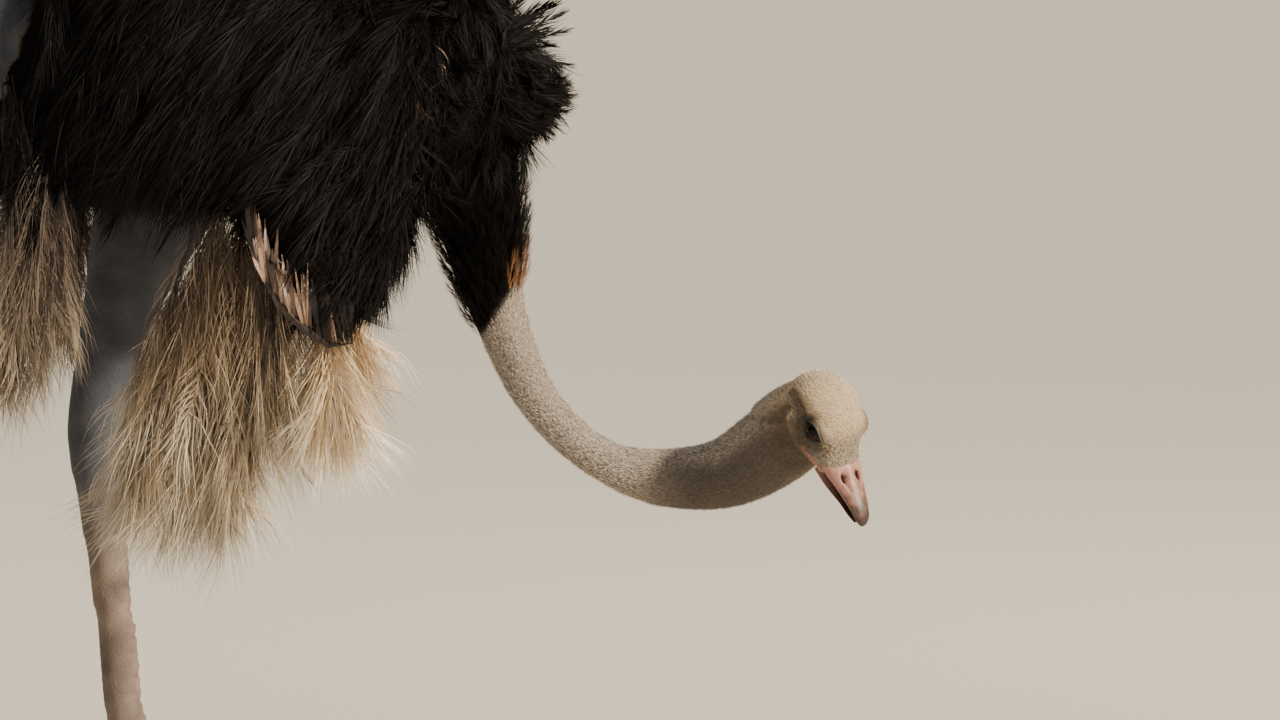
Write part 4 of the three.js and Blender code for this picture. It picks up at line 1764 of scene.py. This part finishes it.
    def mesh(self, name: str) -> Mesh:
        """Joins all ribbons into one mesh with its tones and bake map.

        Args:
            name: the mesh's name.

        Returns:
            The mesh.
        """
        verts = keep_in(np.concatenate(self.verts))
        quads = np.concatenate(self.quads) if self.quads else np.zeros((0, 4), int)
        tips = np.concatenate(self.tips)
        made = bpy.data.meshes.new(name)
        loops = np.concatenate([quads.ravel(), tips.ravel()])
        sizes = np.concatenate([np.full(len(quads), 4), np.full(len(tips), 3)])
        made.vertices.add(len(verts))
        made.vertices.foreach_set("co", verts.astype(np.float32).ravel())
        made.loops.add(len(loops))
        made.loops.foreach_set("vertex_index", loops.astype(np.int32))
        made.polygons.add(len(sizes))
        made.polygons.foreach_set("loop_start", (np.cumsum(sizes) - sizes).astype(np.int32))
        made.update(calc_edges=True)
        paint(made, "plume", *np.concatenate(self.tones).T)
        bake = made.uv_layers.new(name="OFBake")
        bake.data.foreach_set("uv", np.concatenate(self.unwraps)[loops].astype(np.float32).ravel())
        made.shade_smooth()
        return made


def lie_on(normal: Vector, way: Vector) -> Vector:
    """Gives a way laid flat on the surface that has that normal."""
    flat = way - normal * way.dot(normal)
    return flat.normalized() if flat.length > 1e-6 else way.normalized()


FAN = Vector((0.372, 0, 0.948))  # where the mantle's fan spreads from
# The lower edge of the wing's hand, seen from the side.
HAND_EDGE = ((0.133, 0.748), (0.141, 0.718), (0.158, 0.684), (0.184, 0.658), (0.216, 0.636), (0.246, 0.640))
# The place and the width of the painted highlights, pale streaks across the hand's quills.
PAINTED_HIGHLIGHTS = ((0.141, 0.005), (0.166, 0.010), (0.189, 0.007), (0.222, 0.003))


def lie_body(at: Vector, normal: Vector) -> Vector:
    """Gives the lie of the body's feathers: back along the spine, down and back on the flanks.

    Args:
        at: a place on the body.
        normal: the normal there.

    Returns:
        The way feathers point.
    """
    top = max(0.0, normal.z)
    back = 0.22 + 0.38 * min(max((at.x + 0.05) / 0.3, 0.0), 1.0)
    way = Vector((-back - 0.6 * top, 0, -0.88 + 0.5 * top))
    ahead = min(max((at.x - 0.315) / 0.06, 0.0), 1.0)
    if ahead > 0:
        fan = Vector((at.x - FAN.x + 0.012, at.y * 0.5, at.z - FAN.z)).normalized()
        fan += Vector((0.6, 0, -0.06))
        way = way.lerp(fan.normalized(), ahead)
    return lie_on(normal, way)


def lie_back(at: Vector, normal: Vector) -> Vector:
    """Gives the lie of the short feathers beneath: down and back everywhere."""
    return lie_on(normal, Vector((-0.45, 0, -0.85)))


def lie_neck(at: Vector, normal: Vector) -> Vector:
    """Gives the lie on the neck: towards the body, standing a little off the skin.

    Args:
        at: a place on the neck.
        normal: the normal there.

    Returns:
        The way feathers point.
    """
    line = NECK_LINE
    i = int(np.argmin(np.linalg.norm(line - np.array(at), axis=1)))
    back = Vector(line[max(i - 2, 0)] - line[min(i + 2, len(line) - 1)])
    return (lie_on(normal, back) + normal * 0.45).normalized()


NECK_LINE = NECK.station(np.linspace(0, 1, 80))[:, :3]


class Region(Enum):
    """The parts of the body plumage, each a piece of its own."""

    BACK = "back_feathers"
    RIGHT_FLANK = "flank_feathers_right"
    LEFT_FLANK = "flank_feathers_left"


@dataclass(frozen=True)
class Bunch:
    """How one bunch of long plumes hangs in its CAD form.

    Attributes:
        finish: of its plumes.
        count: of its plumes.
        flare: how far they spread, as a share of the form's width.
        shrink: their length, as a share of the form's.
        ahead: how far the bunch lies ahead of the form, in metres.
        out: how far it lies outward of it, in metres.
    """

    finish: PlumeFinish
    count: int
    flare: float
    shrink: float
    ahead: float
    out: float = 0.0


BUNCHES = {
    # the primaries take the sunlit copy of the pale plumes
    "primaries": Bunch(CREAM_PLUMES, 28, 0.5, 0.8, -0.026),
    "secondaries": Bunch(PALE_PLUMES, 86, 1.25, 0.88, -0.004),
    # the tertials take the brown finish as painted shade under the wing
    "tertials": Bunch(TAIL_PLUMES, 28, 1.1, 0.86, -0.012, 0.028),
}


@dataclass
class Coat:
    """All the plumage.

    Attributes:
        skin: the skin it grows on.
        body_pitch: the space between the roots of body feathers, in metres.
    """

    skin: Object
    body_pitch: float = 0.027
    body: Vane = Vane(0.19, 52, 0.07, 17, 0.17, 0.07, 0.0012, 3, lift=0.045)
    wing: Vane = Vane(0.16, 54, 0.062, 17, 0.17, 0.07, 0.0012, 3, lift=0.024, cling=0.9)
    under: Vane = Vane(0.065, 28, 0.04, 30, 0.3, 0.0, 0.0013, 2, lift=0.02, cling=0.9, stray=0.4)
    mantle: Vane = Vane(0.1, 44, 0.034, 18, 0.22, 0.0, 0.0012, 3, lift=0.05, cling=0.15, sag=0.05)
    nape: Vane = Vane(0.036, 16, 0.018, 20, 0.25, 0.0, 0.0009, 2, lift=0.009, cling=0.5, sag=0.0)
    plume: Vane = Vane(0.3, 120, 0.072, 40, 0.5, 0.5, 0.0012, 5, 0.06, blunt=1.0, wave=0.12, ruffle=14)
    tail: Vane = Vane(0.3, 100, 0.072, 42, 0.4, 0.4, 0.0015, 5, 0.06, blunt=0.8, wave=0.12, ruffle=12)

    def __post_init__(self) -> None:
        """Finds the skin's surface and the limbs that stay bare or hidden."""
        bm = bmesh.new()
        bm.from_mesh(self.skin.data)
        self.carrier = BVHTree.FromBMesh(bm)
        bm.free()
        self.made: dict[PlumeFinish, Material] = {}
        self.thighs = tree_of(*(side.legs()[0] for side in BIRD.values()), inset=-0.008)
        self.wings = tree_of(*(side.wing() for side in BIRD.values()), inset=WING_DEPTH + 0.012)

    def finish_piece(
        self, fringe: Fringe, name: str, finish: PlumeFinish = BLACK_PLUMES,
        slot: str = "black_plumage", node: str = "",
    ) -> None:
        """Turns gathered ribbons into a piece.

        Args:
            fringe: the ribbons.
            name: the piece's name.
            finish: its finish, made once for all its pieces.
            slot: the record's material slot.
            node: the CAD node it stands for, if any.
        """
        if finish not in self.made:
            self.made[finish] = finish.make()
        place_piece(fringe.mesh(name), name, slot, [node] if node else (), self.made[finish])

    def clear_of(self, tree: BVHTree, rows: Array) -> Array:
        """Says which places are outside a closed form."""
        return np.array([not is_inside(tree, Vector(row)) for row in rows])

    def build_body(self) -> None:
        """Covers the trunk in black feathers, in three pieces."""
        rng = np.random.default_rng(Seed.BODY)
        roots = scatter(TRUNK_CORE, self.body_pitch, rng, 0.0, (0.02, 0.985))
        free = self.clear_of(self.thighs, roots.at) & self.clear_of(self.wings, roots.at)
        roots = roots.keep(free & (roots.at[:, 0] < 0.335))
        top = roots.normal[:, 2] > 0.62
        right = roots.at[:, 1] < 0
        regions = {Region.BACK: top, Region.RIGHT_FLANK: ~top & right, Region.LEFT_FLANK: ~top & ~right}
        for region, wanted in regions.items():
            fringe, part = Fringe(), roots.keep(wanted)
            lines, normals = trace(part, self.body, lie_body, self.carrier, rng)
            fringe.feathers(self.part_at_thighs(lines), normals, part, self.body, rng)
            self.finish_piece(fringe, region.value)

    def part_at_thighs(self, lines: Array) -> Array:
        """Moves feathers off the bare outer side of the right thigh, to its front or its rear.

        Args:
            lines: the rachis points, as feathers x points x 3.

        Returns:
            The moved points.
        """
        rows = BIRD["right"].legs()[0].station(np.linspace(0, 1, 40))[::-1]
        x, y, z = lines.transpose(2, 0, 1)
        front = np.interp(z, rows[:, 2], rows[:, 0] + rows[:, 5]) + 0.008
        rear = np.interp(z, rows[:, 2], rows[:, 0] - rows[:, 4]) - 0.004
        top = 1.115 - 0.03 * np.clip((x - rear) / (front - rear), 0, 1) + 0.012 * np.sin(x * 160)
        over = (y < -0.12) & (z < top) & (z > 0.60) & (x < front) & (x > rear)
        ahead = x[:, :1] > (front + rear)[:, :1] / 2
        moved = lines.copy()
        moved[:, :, 0] = np.where(over, np.where(ahead, front, rear), x)
        return moved

    def build_under(self) -> None:
        """Closes the front of the body with short feathers beneath the long ones."""
        rng = np.random.default_rng(Seed.UNDER)
        fringe, pitch = Fringe(), 0.0155
        roots = scatter(TRUNK_CORE, pitch, rng, 0.0, (0.5, 1.0))
        x, _, z = roots.at.T
        roots = roots.keep(self.clear_of(self.wings, roots.at) & (x > 0.20) & ((z > 0.87) | (x < 0.37)))
        fringe.grow(roots, self.under, lie_back, self.carrier, rng)
        for side in BIRD.values():
            part = scatter(side.wing(), pitch, rng, WING_DEPTH, (0.6, 1.0))
            part = part.keep((part.normal[:, 1] * side.sign > -0.4) & (part.at[:, 0] > 0.22))
            fringe.grow(part, self.under, lie_back, self.carrier, rng)
        self.finish_piece(fringe, "breast_underfeathers")
        fringe = Fringe()
        short = replace(self.under, length=0.085, barbs=40, reach=0.042, angle=24, lift=0.03, width=0.0017)
        roots = scatter(TRUNK_CORE, 0.013, rng, 0.0, (0.5, 1.0))
        roots = roots.keep((roots.normal[:, 2] > 0.3) & (roots.at[:, 0] > 0.12) & (roots.at[:, 0] < 0.37))
        fringe.grow(roots, short, lie_back, self.carrier, rng)
        self.finish_piece(fringe, "shoulder_underfeathers")

    def build_mantle(self) -> None:
        """Fans the loose feathers of the mantle forward over the neck's root."""
        rng = np.random.default_rng(Seed.MANTLE)
        fringe = Fringe()
        roots = scatter(TRUNK_CORE, 0.012, rng, 0.0, (0.66, 1.0))
        roots = roots.keep((roots.at[:, 0] > 0.335) & (roots.at[:, 2] > 0.88))
        gap = np.linalg.norm(roots.at[:, ::2] - np.array([FAN.x, FAN.z]), axis=1)
        sizes = np.clip(0.150 - gap, 0.05, 0.135) * rng.uniform(0.8, 1.02, len(gap))
        lines, normals = trace(roots, self.mantle, lie_body, self.carrier, rng, 5, sizes)
        held = lines[:, -1, 2] > 0.862
        fringe.feathers(lines[held], normals[held], roots.keep(held), self.mantle, rng)
        self.finish_piece(fringe, "mantle_feathers")

    def build_neck_base(self) -> None:
        """Covers the neck's root in short black feathers that end in a rusty fringe."""
        rng = np.random.default_rng(Seed.NECK_BASE)
        roots = scatter(NECK, 0.0085, rng, 0.004, (0.06, 0.40))
        beyond = beyond_collar(roots.at) + rng.normal(0, 0.004, len(roots.at))
        rust = (beyond < 0.016) & (roots.normal[:, 0] > rng.uniform(0.1, 0.95, len(roots.at)))
        for name, wanted, finish in (
            ("neck_base_feathers", (beyond > 0.0) & ~rust, BLACK_PLUMES),
            ("collar_fringe", (beyond > -0.004) & rust, RUSTY_FRINGE),
        ):
            fringe = Fringe()
            fringe.grow(roots.keep(wanted), self.nape, lie_neck, self.carrier, rng)
            self.finish_piece(fringe, name, finish)

    def build_wing(self, side: str) -> None:
        """Covers one wing in black coverts.

        Args:
            side: the wing's side.
        """
        rng = np.random.default_rng(Seed.WING + SIDES[side])
        fringe = Fringe()
        roots = scatter(BIRD[side].wing(), 0.0235, rng, WING_DEPTH)
        roots = roots.keep(roots.normal[:, 1] * SIDES[side] > -0.25)
        lines, normals = trace(roots, self.wing, lie_body, self.carrier, rng)
        free = self.off_the_hand(lines) | (roots.normal[:, 1] * SIDES[side] < 0.2)
        fringe.feathers(self.part_at_thighs(lines)[free], normals[free], roots.keep(free), self.wing, rng)
        roots, lines, normals = self.rear_lobe(side, rng)
        fringe.feathers(lines, normals, roots, self.wing, rng)
        self.finish_piece(fringe, f"wing_coverts_{side}", node=f"wing_{side}")

    def rear_lobe(self, side: str, rng: Rng) -> tuple[Roots, Array, Array]:
        """Lays the lobe of coverts that hangs at the wing's rear end.

        Args:
            side: the wing's side.
            rng: the source of randomness.

        Returns:
            The roots, the rachis points and the normals at them.
        """
        count, points = 14, 7
        share = np.linspace(0, 1, points)
        lines = np.empty((count, points, 3))
        lines[:, :, 0] = rng.normal(-0.150, 0.010, (count, 1)) + 0.016 * share
        lines[:, :, 0] += rng.normal(0, 0.004, (count, 1)) * share
        lines[:, :, 1] = SIDES[side] * (rng.uniform(0.27, 0.295, (count, 1)) + 0.01 * share)
        lines[:, :, 2] = 0.955 - rng.uniform(0.0, 0.04, (count, 1))
        lines[:, :, 2] -= 0.175 * share * rng.uniform(0.85, 1.05, (count, 1))
        out = np.tile((0.0, float(SIDES[side]), 0.1), (count, points, 1))
        roots = Roots(lines[:, 0], out[:, 0], rng.uniform(0.1, 0.9, (count, 2)))
        return roots, lines, unit(out)

    def build_plumes(self, side: str) -> None:
        """Hangs the long pale plumes under one wing.

        Args:
            side: the wing's side.
        """
        rng = np.random.default_rng(Seed.PLUMES + SIDES[side])
        for name, sweep in BIRD[side].bunches().items():
            fringe, bunch = Fringe(), BUNCHES[name]
            roots, lines, normals = self.hang(sweep, bunch.count, rng, bunch.flare)
            lines[:, :, 1] += SIDES[side] * bunch.out
            lines = lines[:, :1] + bunch.shrink * (lines - lines[:, :1])
            lines[:, :, 0] += bunch.ahead
            vane = replace(self.plume, reach=0.055, curl=0.8) if name == "primaries" else self.plume
            fringe.feathers(lines, normals, roots, vane, rng)
            node = f"{name}_{side}"
            self.finish_piece(fringe, node, bunch.finish, "pale_plumage", node)

    def off_the_hand(self, lines: Array) -> Array:
        """Says which coverts end clear of the hand's bare quills.

        Args:
            lines: the rachis points, as feathers x points x 3.

        Returns:
            Whether each feather does.
        """
        place = lines[:, -3:, None, ::2]
        corners = np.arange(len(HAND_EDGE))
        share = np.linspace(0, corners[-1], 24)
        edge = np.stack([np.interp(share, corners, column) for column in np.array(HAND_EDGE).T], axis=1)
        return (np.linalg.norm(place - edge, axis=3) > 0.027).all(axis=(1, 2))

    def build_hand(self, side: str) -> None:
        """Lays smooth glossy quill feathers round the lower edge of one wing's hand, with painted
        highlights in pale streaks across them.

        Args:
            side: the wing's side.
        """
        rng = np.random.default_rng(Seed.HAND + SIDES[side])
        fringe = Fringe()
        edge = np.array(HAND_EDGE)
        corners = np.linspace(0, 1, len(edge))
        points = 6
        share = np.linspace(0, 1, points)
        arch = np.sin(math.pi * share)
        for along, count in ((True, 14), (False, 110)):
            rows = np.empty((count, points, 3))
            for i in range(count):
                if along:
                    s = np.clip(share * 0.9 + rng.uniform(0, 0.1), 0, 1)
                    lift, tilt = rng.uniform(0, 0.006) * arch, 0.0
                else:
                    s = np.full(points, (i + rng.uniform(0.1, 0.9)) / count)
                    lift = (1 - share) * rng.uniform(0.045, 0.085) - 0.002
                    tilt = rng.normal(0.010, 0.006)
                rows[i, :, 0] = np.interp(s, corners, edge[:, 0]) + tilt * (share - 1)
                rows[i, :, 2] = np.interp(s, corners, edge[:, 1]) + lift
                rows[i, :, 1] = SIDES[side] * (0.300 + 0.008 * arch + rng.uniform(-0.004, 0.004))
            if along:
                mood = np.full((count, 1), 0.05)
            else:
                # pale streaks across the quills: painted highlights
                streak = sum(np.exp(-(((rows[:, 3, 0] - at) / wide) ** 2)) for at, wide in PAINTED_HIGHLIGHTS)
                mood = 1.7 * streak[:, None] * rng.uniform(0.45, 1, (count, 1))
            out = np.tile((0.0, float(SIDES[side]), 0.0), (count, 1))
            out += rng.normal(0, 0.35, (count, 3)) * (1, 0, 0.3)
            width = rng.uniform(0.0035, 0.0075, count)
            spot = np.stack([0.1 + 0.8 * rng.uniform(0, 1, count) for _ in range(2)], axis=1)
            unwrap = spot[:, None] + BAKE_PATCH * share[None, :, None]
            fringe.add(rows, unit(out), width, tones(mood, share, 0.5), unwrap, True)
        self.finish_piece(fringe, f"hand_quills_{side}", GLOSSY_QUILLS)

    def build_shafts(self) -> None:
        """Lays glossy shafts in the parting where the mantle's fan spreads, pale partly by their own colour
        and partly by painted highlight.
        """
        rng = np.random.default_rng(Seed.SHAFTS)
        count, share = 34, np.linspace(0, 1, 6)
        rows = np.empty((count, 6, 3))
        normal = np.empty((count, 3))
        for i in range(count):
            side = -1 if i % 2 else 1
            at = FAN + Vector((rng.normal(0.010, 0.012), side * 0.16, rng.normal(0.0, 0.03)))
            place, out, _, _ = self.carrier.find_nearest(at + Vector((0, side * 0.1, 0)))
            way = Vector((0.35 + rng.normal(0.0, 0.25), 0, -0.8 if rng.uniform() < 0.6 else 0.5))
            way = lie_on(out, way)
            long = rng.uniform(0.022, 0.055)
            for k, s in enumerate(share):
                rows[i, k] = place + out * (0.012 + 0.014 * math.sin(math.pi * s)) + way * long * s
            normal[i] = out
        # the pale share is partly the quills' own colour and partly painted highlight
        mood = 0.6 * rng.uniform(0.0, 1, (count, 1)) ** 1.6
        unwrap = rng.uniform(0.1, 0.9, (count, 1, 2)) + BAKE_PATCH * share[None, :, None]
        facing = unit(normal + rng.normal(0, 0.3, normal.shape))
        fringe = Fringe()
        fringe.add(rows, facing, rng.uniform(0.0012, 0.003, count), tones(mood, share, 0.5), unwrap)
        self.finish_piece(fringe, "mantle_shafts", GLOSSY_QUILLS)

    def hang(
        self, sweep: Sweep, count: int, rng: Rng, flare: float = 1.0
    ) -> tuple[Roots, Array, Array]:
        """Lays plumes along a bunch, each on its own line inside it.

        Args:
            sweep: the bunch's form.
            count: how many plumes.
            rng: the source of randomness.
            flare: how far the plumes spread, as a share of the bunch's width.

        Returns:
            The roots, the rachis points and the normals at them.
        """
        steps = 8
        turn = rng.uniform(0, FULL_TURN, count)
        deep = np.sqrt(rng.uniform(0.02, 1.0, count)) * flare
        start = rng.uniform(0.0, 0.45, count) ** 1.2
        end = np.minimum(start + rng.uniform(0.45, 0.7, count), rng.uniform(0.8, 0.97, count))
        lines = np.empty((count, steps + 1, 3))
        normals = np.empty((count, steps + 1, 3))
        curl = rng.normal(0, 1, (count, 3)) * (0.03, 0.012, 0.008)
        for k in range(steps + 1):
            share = k / steps
            t = start + (end - start) * share
            middle = sweep.station(t)[:, :3]
            high = np.minimum(t, 0.62)
            wide = sweep.surface(high, turn + 0.2 * share) - sweep.station(high)[:, :3]
            narrow = sweep.surface(t, turn + 0.2 * share) - middle
            lines[:, k] = middle + (0.6 * wide + 0.4 * narrow) * (deep * (0.55 + 0.45 * share))[:, None]
            lines[:, k] += curl * share**3
            normals[:, k] = unit(narrow + 1e-6)
        return Roots(lines[:, 0], normals[:, 0], round_map(start, turn)), lines, normals

    def build_tail(self) -> None:
        """Hangs the tail's plumes."""
        rng = np.random.default_rng(Seed.TAIL)
        fringe = Fringe()
        roots, lines, normals = self.hang(replace(TAIL, stations=TAIL.stations[::-1]), 95, rng)
        fringe.feathers(lines, normals, roots, self.tail, rng)
        self.finish_piece(fringe, "tail_plumes", TAIL_PLUMES, "tail_plumage", "tail")

    def build_down(self) -> None:
        """Sets short bristles on neck and head."""
        rng = np.random.default_rng(Seed.DOWN)
        mesh = self.skin.data
        mesh.calc_loop_triangles()
        tris = np.empty(len(mesh.loop_triangles) * 3, int)
        mesh.loop_triangles.foreach_get("vertices", tris)
        a, b, c = read_mesh(mesh)[tris.reshape(-1, 3)].transpose(1, 0, 2)
        cross = np.cross(b - a, c - a)
        area = np.linalg.norm(cross, axis=1) / 2
        normal = unit(cross)
        neck, face = self.downy((a + b + c) / 3, rng)
        for name, wanted, count, size, finish in (
            ("neck_down", neck, 38000, 0.0042, DOWN_BRISTLES),
            ("head_down", face, 21000, 0.0034, CROWN_BRISTLES),
        ):
            weight = area * wanted
            pick = rng.choice(len(area), count, p=weight / weight.sum())
            r = np.sqrt(rng.uniform(0, 1, (count, 1)))
            s = rng.uniform(0, 1, (count, 1))
            at = a[pick] * (1 - r) + b[pick] * r * (1 - s) + c[pick] * r * s
            fringe = self.bristles(at, normal[pick], size, name == "head_down", rng)
            self.finish_piece(fringe, name, finish, "neck_down")

    def downy(self, places: Array, rng: Rng) -> tuple[Array, Array]:
        """Says which places on the skin bear down.

        Args:
            places: their rows, in metres.
            rng: the source of randomness.

        Returns:
            Whether each bears the neck's down, and whether it bears the head's.
        """
        head = HEAD.to_head(places)
        on_head = np.linalg.norm(head, axis=1) + rng.normal(0, 7, len(head)) < 84
        neck = (places[:, 0] > 0.36) & (beyond_collar(places) < 0.002) & ~on_head
        bare = np.zeros(len(places), bool)
        for sign in (-1, 1):
            eye, gaze, ahead, up = HEAD.eye(sign)
            way = unit(head - eye)
            x, y = (np.arctan2(way @ axis, way @ gaze) * 20 for axis in (ahead, up))
            lids = (np.hypot(x / 20, (y - 1.5) / 13.5) < 1) & (way @ gaze > 0.2)
            lore = np.linalg.norm((head - np.array([30, sign * 31, -16])) / (1.3, 1, 1), axis=1) < 13
            bare |= lids & (head[:, 1] * sign > 0) | lore
        behind_bill = head[:, 0] < 42 + 17 * smoothstep(-20, -12, head[:, 2])
        return neck, on_head & ~bare & behind_bill

    def bristles(self, at: Array, out: Array, size: float, on_head: bool, rng: Rng) -> Fringe:
        """Makes bristles that lie towards the body, darker where shade is painted: on throat, cheeks and
        the sides of the upper neck, and round the eyes.

        Args:
            at: their roots.
            out: the normals there.
            size: their usual length, in metres.
            on_head: whether they are the head's.
            rng: the source of randomness.

        Returns:
            The bristles.
        """
        count, stops = len(at), 40
        line = NECK_LINE[np.linspace(0, len(NECK_LINE) - 1, stops).astype(int)]
        near = np.argmin(((at[:, None] - line[None]) ** 2).sum(axis=2), axis=1)
        back = line[np.maximum(near - 1, 0)] - line[np.minimum(near + 1, stops - 1)]
        if on_head:
            back = np.tile(-HEAD.basis()[0], (count, 1)) + 0.3 * back / 0.03
        flat = unit(back - out * (back * out).sum(axis=1)[:, None])
        way = unit(flat + out * rng.uniform(0.12, 0.55, (count, 1)) + rng.normal(0, 0.2, (count, 3)))
        long = size * rng.uniform(0.6, 1.3, (count, 1))
        knee = at + (way + out * 0.25) * long * 0.5
        lines = np.stack([at - out * 0.0005, knee, at + way * long], axis=1)
        mood = rng.uniform(0, 1, (count, 1))
        # painted shade: the head's shadow on throat and upper neck, and the shade round the eyes
        dark = painted_neck_shade(at, out)
        if on_head:
            local = HEAD.to_head(at)
            dark = 0.9 * np.minimum(np.maximum(dark, 1.3 * eye_ring_and_shade(local)), 1)
            along, turn = (local[:, 0] + 90) / 150, np.arctan2(local[:, 1], local[:, 2])
        else:
            dark = 0.78 * np.minimum(dark, 1)
            rise = ((at - line[near]) * (-0.5, 0, 0.85)).sum(axis=1)
            along, turn = near / stops, np.arctan2(at[:, 1], rise)
        spots = np.stack([along, turn / FULL_TURN + 0.5], axis=1)
        unwrap = 0.01 + 0.97 * spots[:, None] + BAKE_PATCH * np.array([[0, 0], [0.5, 0.5], [1, 1]])
        tone = tones(mood, np.array((0.35, 0.8, 1.0)) * (1 - dark[:, None]), 0.5)
        facing = unit(out + rng.normal(0, 0.3, out.shape))
        fringe = Fringe()
        fringe.add(lines, facing, rng.uniform(0.0003, 0.0007, count), tone, unwrap)
        return fringe

    def build(self) -> None:
        """Builds every piece of the plumage."""
        self.build_body()
        self.build_under()
        self.build_mantle()
        self.build_neck_base()
        for side in SIDES:
            self.build_wing(side)
            self.build_plumes(side)
            self.build_hand(side)
        self.build_shafts()
        self.build_tail()
        self.build_down()


# ---- studio
def turn_along(way: Vector) -> Euler:
    """Gives the turn that points a lamp or the camera along a way."""
    return way.to_track_quat("-Z", "Y").to_euler()


@dataclass(frozen=True)
class Lamp:
    """A soft square light, aimed at the bird: its place, size, power in watts and colour."""

    name: str
    at: Triple
    size: float
    power: float
    colour: str

    def build(self, aim: Vector) -> None:
        """Hangs the light, hidden from the camera.

        Args:
            aim: the place it lights.
        """
        data = bpy.data.lights.new(self.name, "AREA")
        data.size = self.size
        data.energy = self.power
        data.color = linear(self.colour)[:3]
        lamp = link_object(self.name, data)
        lamp.location = self.at
        lamp.rotation_euler = turn_along(aim - lamp.location)
        lamp.visible_camera = False


@dataclass
class Studio:
    """A pale floor, soft light and a long lens at the height of the neck.

    Attributes:
        aim: the place the camera and the lamps look at.
        rise: how far the camera looks down, in degrees.
        field_width: the width it sees at the aim, in metres.
        sky: the strength of the light from all round.
        sun: the way towards the sun.
        sun_width: the angle it fills, in degrees.
    """

    aim: Triple = (0.5765, 0, 0.600)
    distance: float = 15.0
    rise: float = 4.0
    field_width: float = 1.506
    floor_half: float = 250
    sky: float = 0.36
    lamps: tuple[Lamp, ...] = (
        Lamp("rim", (2.5, 3.6, 4.2), 2.0, 120, "fff1dc"),
        Lamp("fill", (-1.5, -6.5, 2.6), 4.0, 60, "e8f0ff"),
    )
    sun: Triple = (0.77, -0.42, 0.48)
    sun_power: float = 6.6
    sun_width: float = 4

    def build(self) -> None:
        """Builds floor, light and camera."""
        self.build_floor()
        self.build_light()
        self.build_camera()

    def build_floor(self) -> None:
        """Lays the floor, in matt pale paper that keeps shadows soft and neutral."""
        bm = bmesh.new()
        bmesh.ops.create_grid(bm, x_segments=1, y_segments=1, size=self.floor_half)
        floor = link_object("floor", made_mesh(bm, "floor"))
        paper, _, shader = blank_material("pale_floor")
        shader.inputs["Base Color"].default_value = linear("d9d3c6")
        shader.inputs["Roughness"].default_value = 0.9
        floor.data.materials.append(paper)

    def build_light(self) -> None:
        """Lights the sky, the lamps and the sun."""
        world = bpy.data.worlds.new("studio")
        world.use_nodes = True
        sky = world.node_tree.nodes["Background"]
        sky.inputs["Color"].default_value = linear("e9e6df")
        sky.inputs["Strength"].default_value = self.sky
        bpy.context.scene.world = world
        for lamp in self.lamps:
            lamp.build(Vector(self.aim))
        sun = bpy.data.lights.new("key", "SUN")
        sun.energy = self.sun_power
        sun.angle = math.radians(self.sun_width)
        sun.color = linear("fff0dc")[:3]
        link_object("key", sun).rotation_euler = turn_along(-Vector(self.sun))

    def build_camera(self) -> None:
        """Sets up the camera with its long lens."""
        lens = bpy.data.cameras.new("camera")
        lens.lens = lens.sensor_width * self.distance / self.field_width
        lens.clip_end = 600
        camera = link_object("camera", lens)
        aim, angle = Vector(self.aim), math.radians(self.rise)
        camera.location = aim + Vector((0, -math.cos(angle), math.sin(angle))) * self.distance
        camera.rotation_euler = turn_along(aim - camera.location)
        bpy.context.scene.camera = camera


def main() -> None:
    """Builds the bird and its studio."""
    logging.basicConfig(level=logging.INFO, format="%(message)s")
    Studio().build()
    skin = Skin().build()
    Bill().build()
    wet = EyeFinish().make()
    horn = CLAW_HORN.make()
    lash = BLACK_PLUMES.make()
    for side in SIDES:
        Eye(side, wet).build()
        Claws(side, horn).build()
        Lashes(side, lash).build()
    Coat(skin).build()


if __name__ == "__main__":
    main()
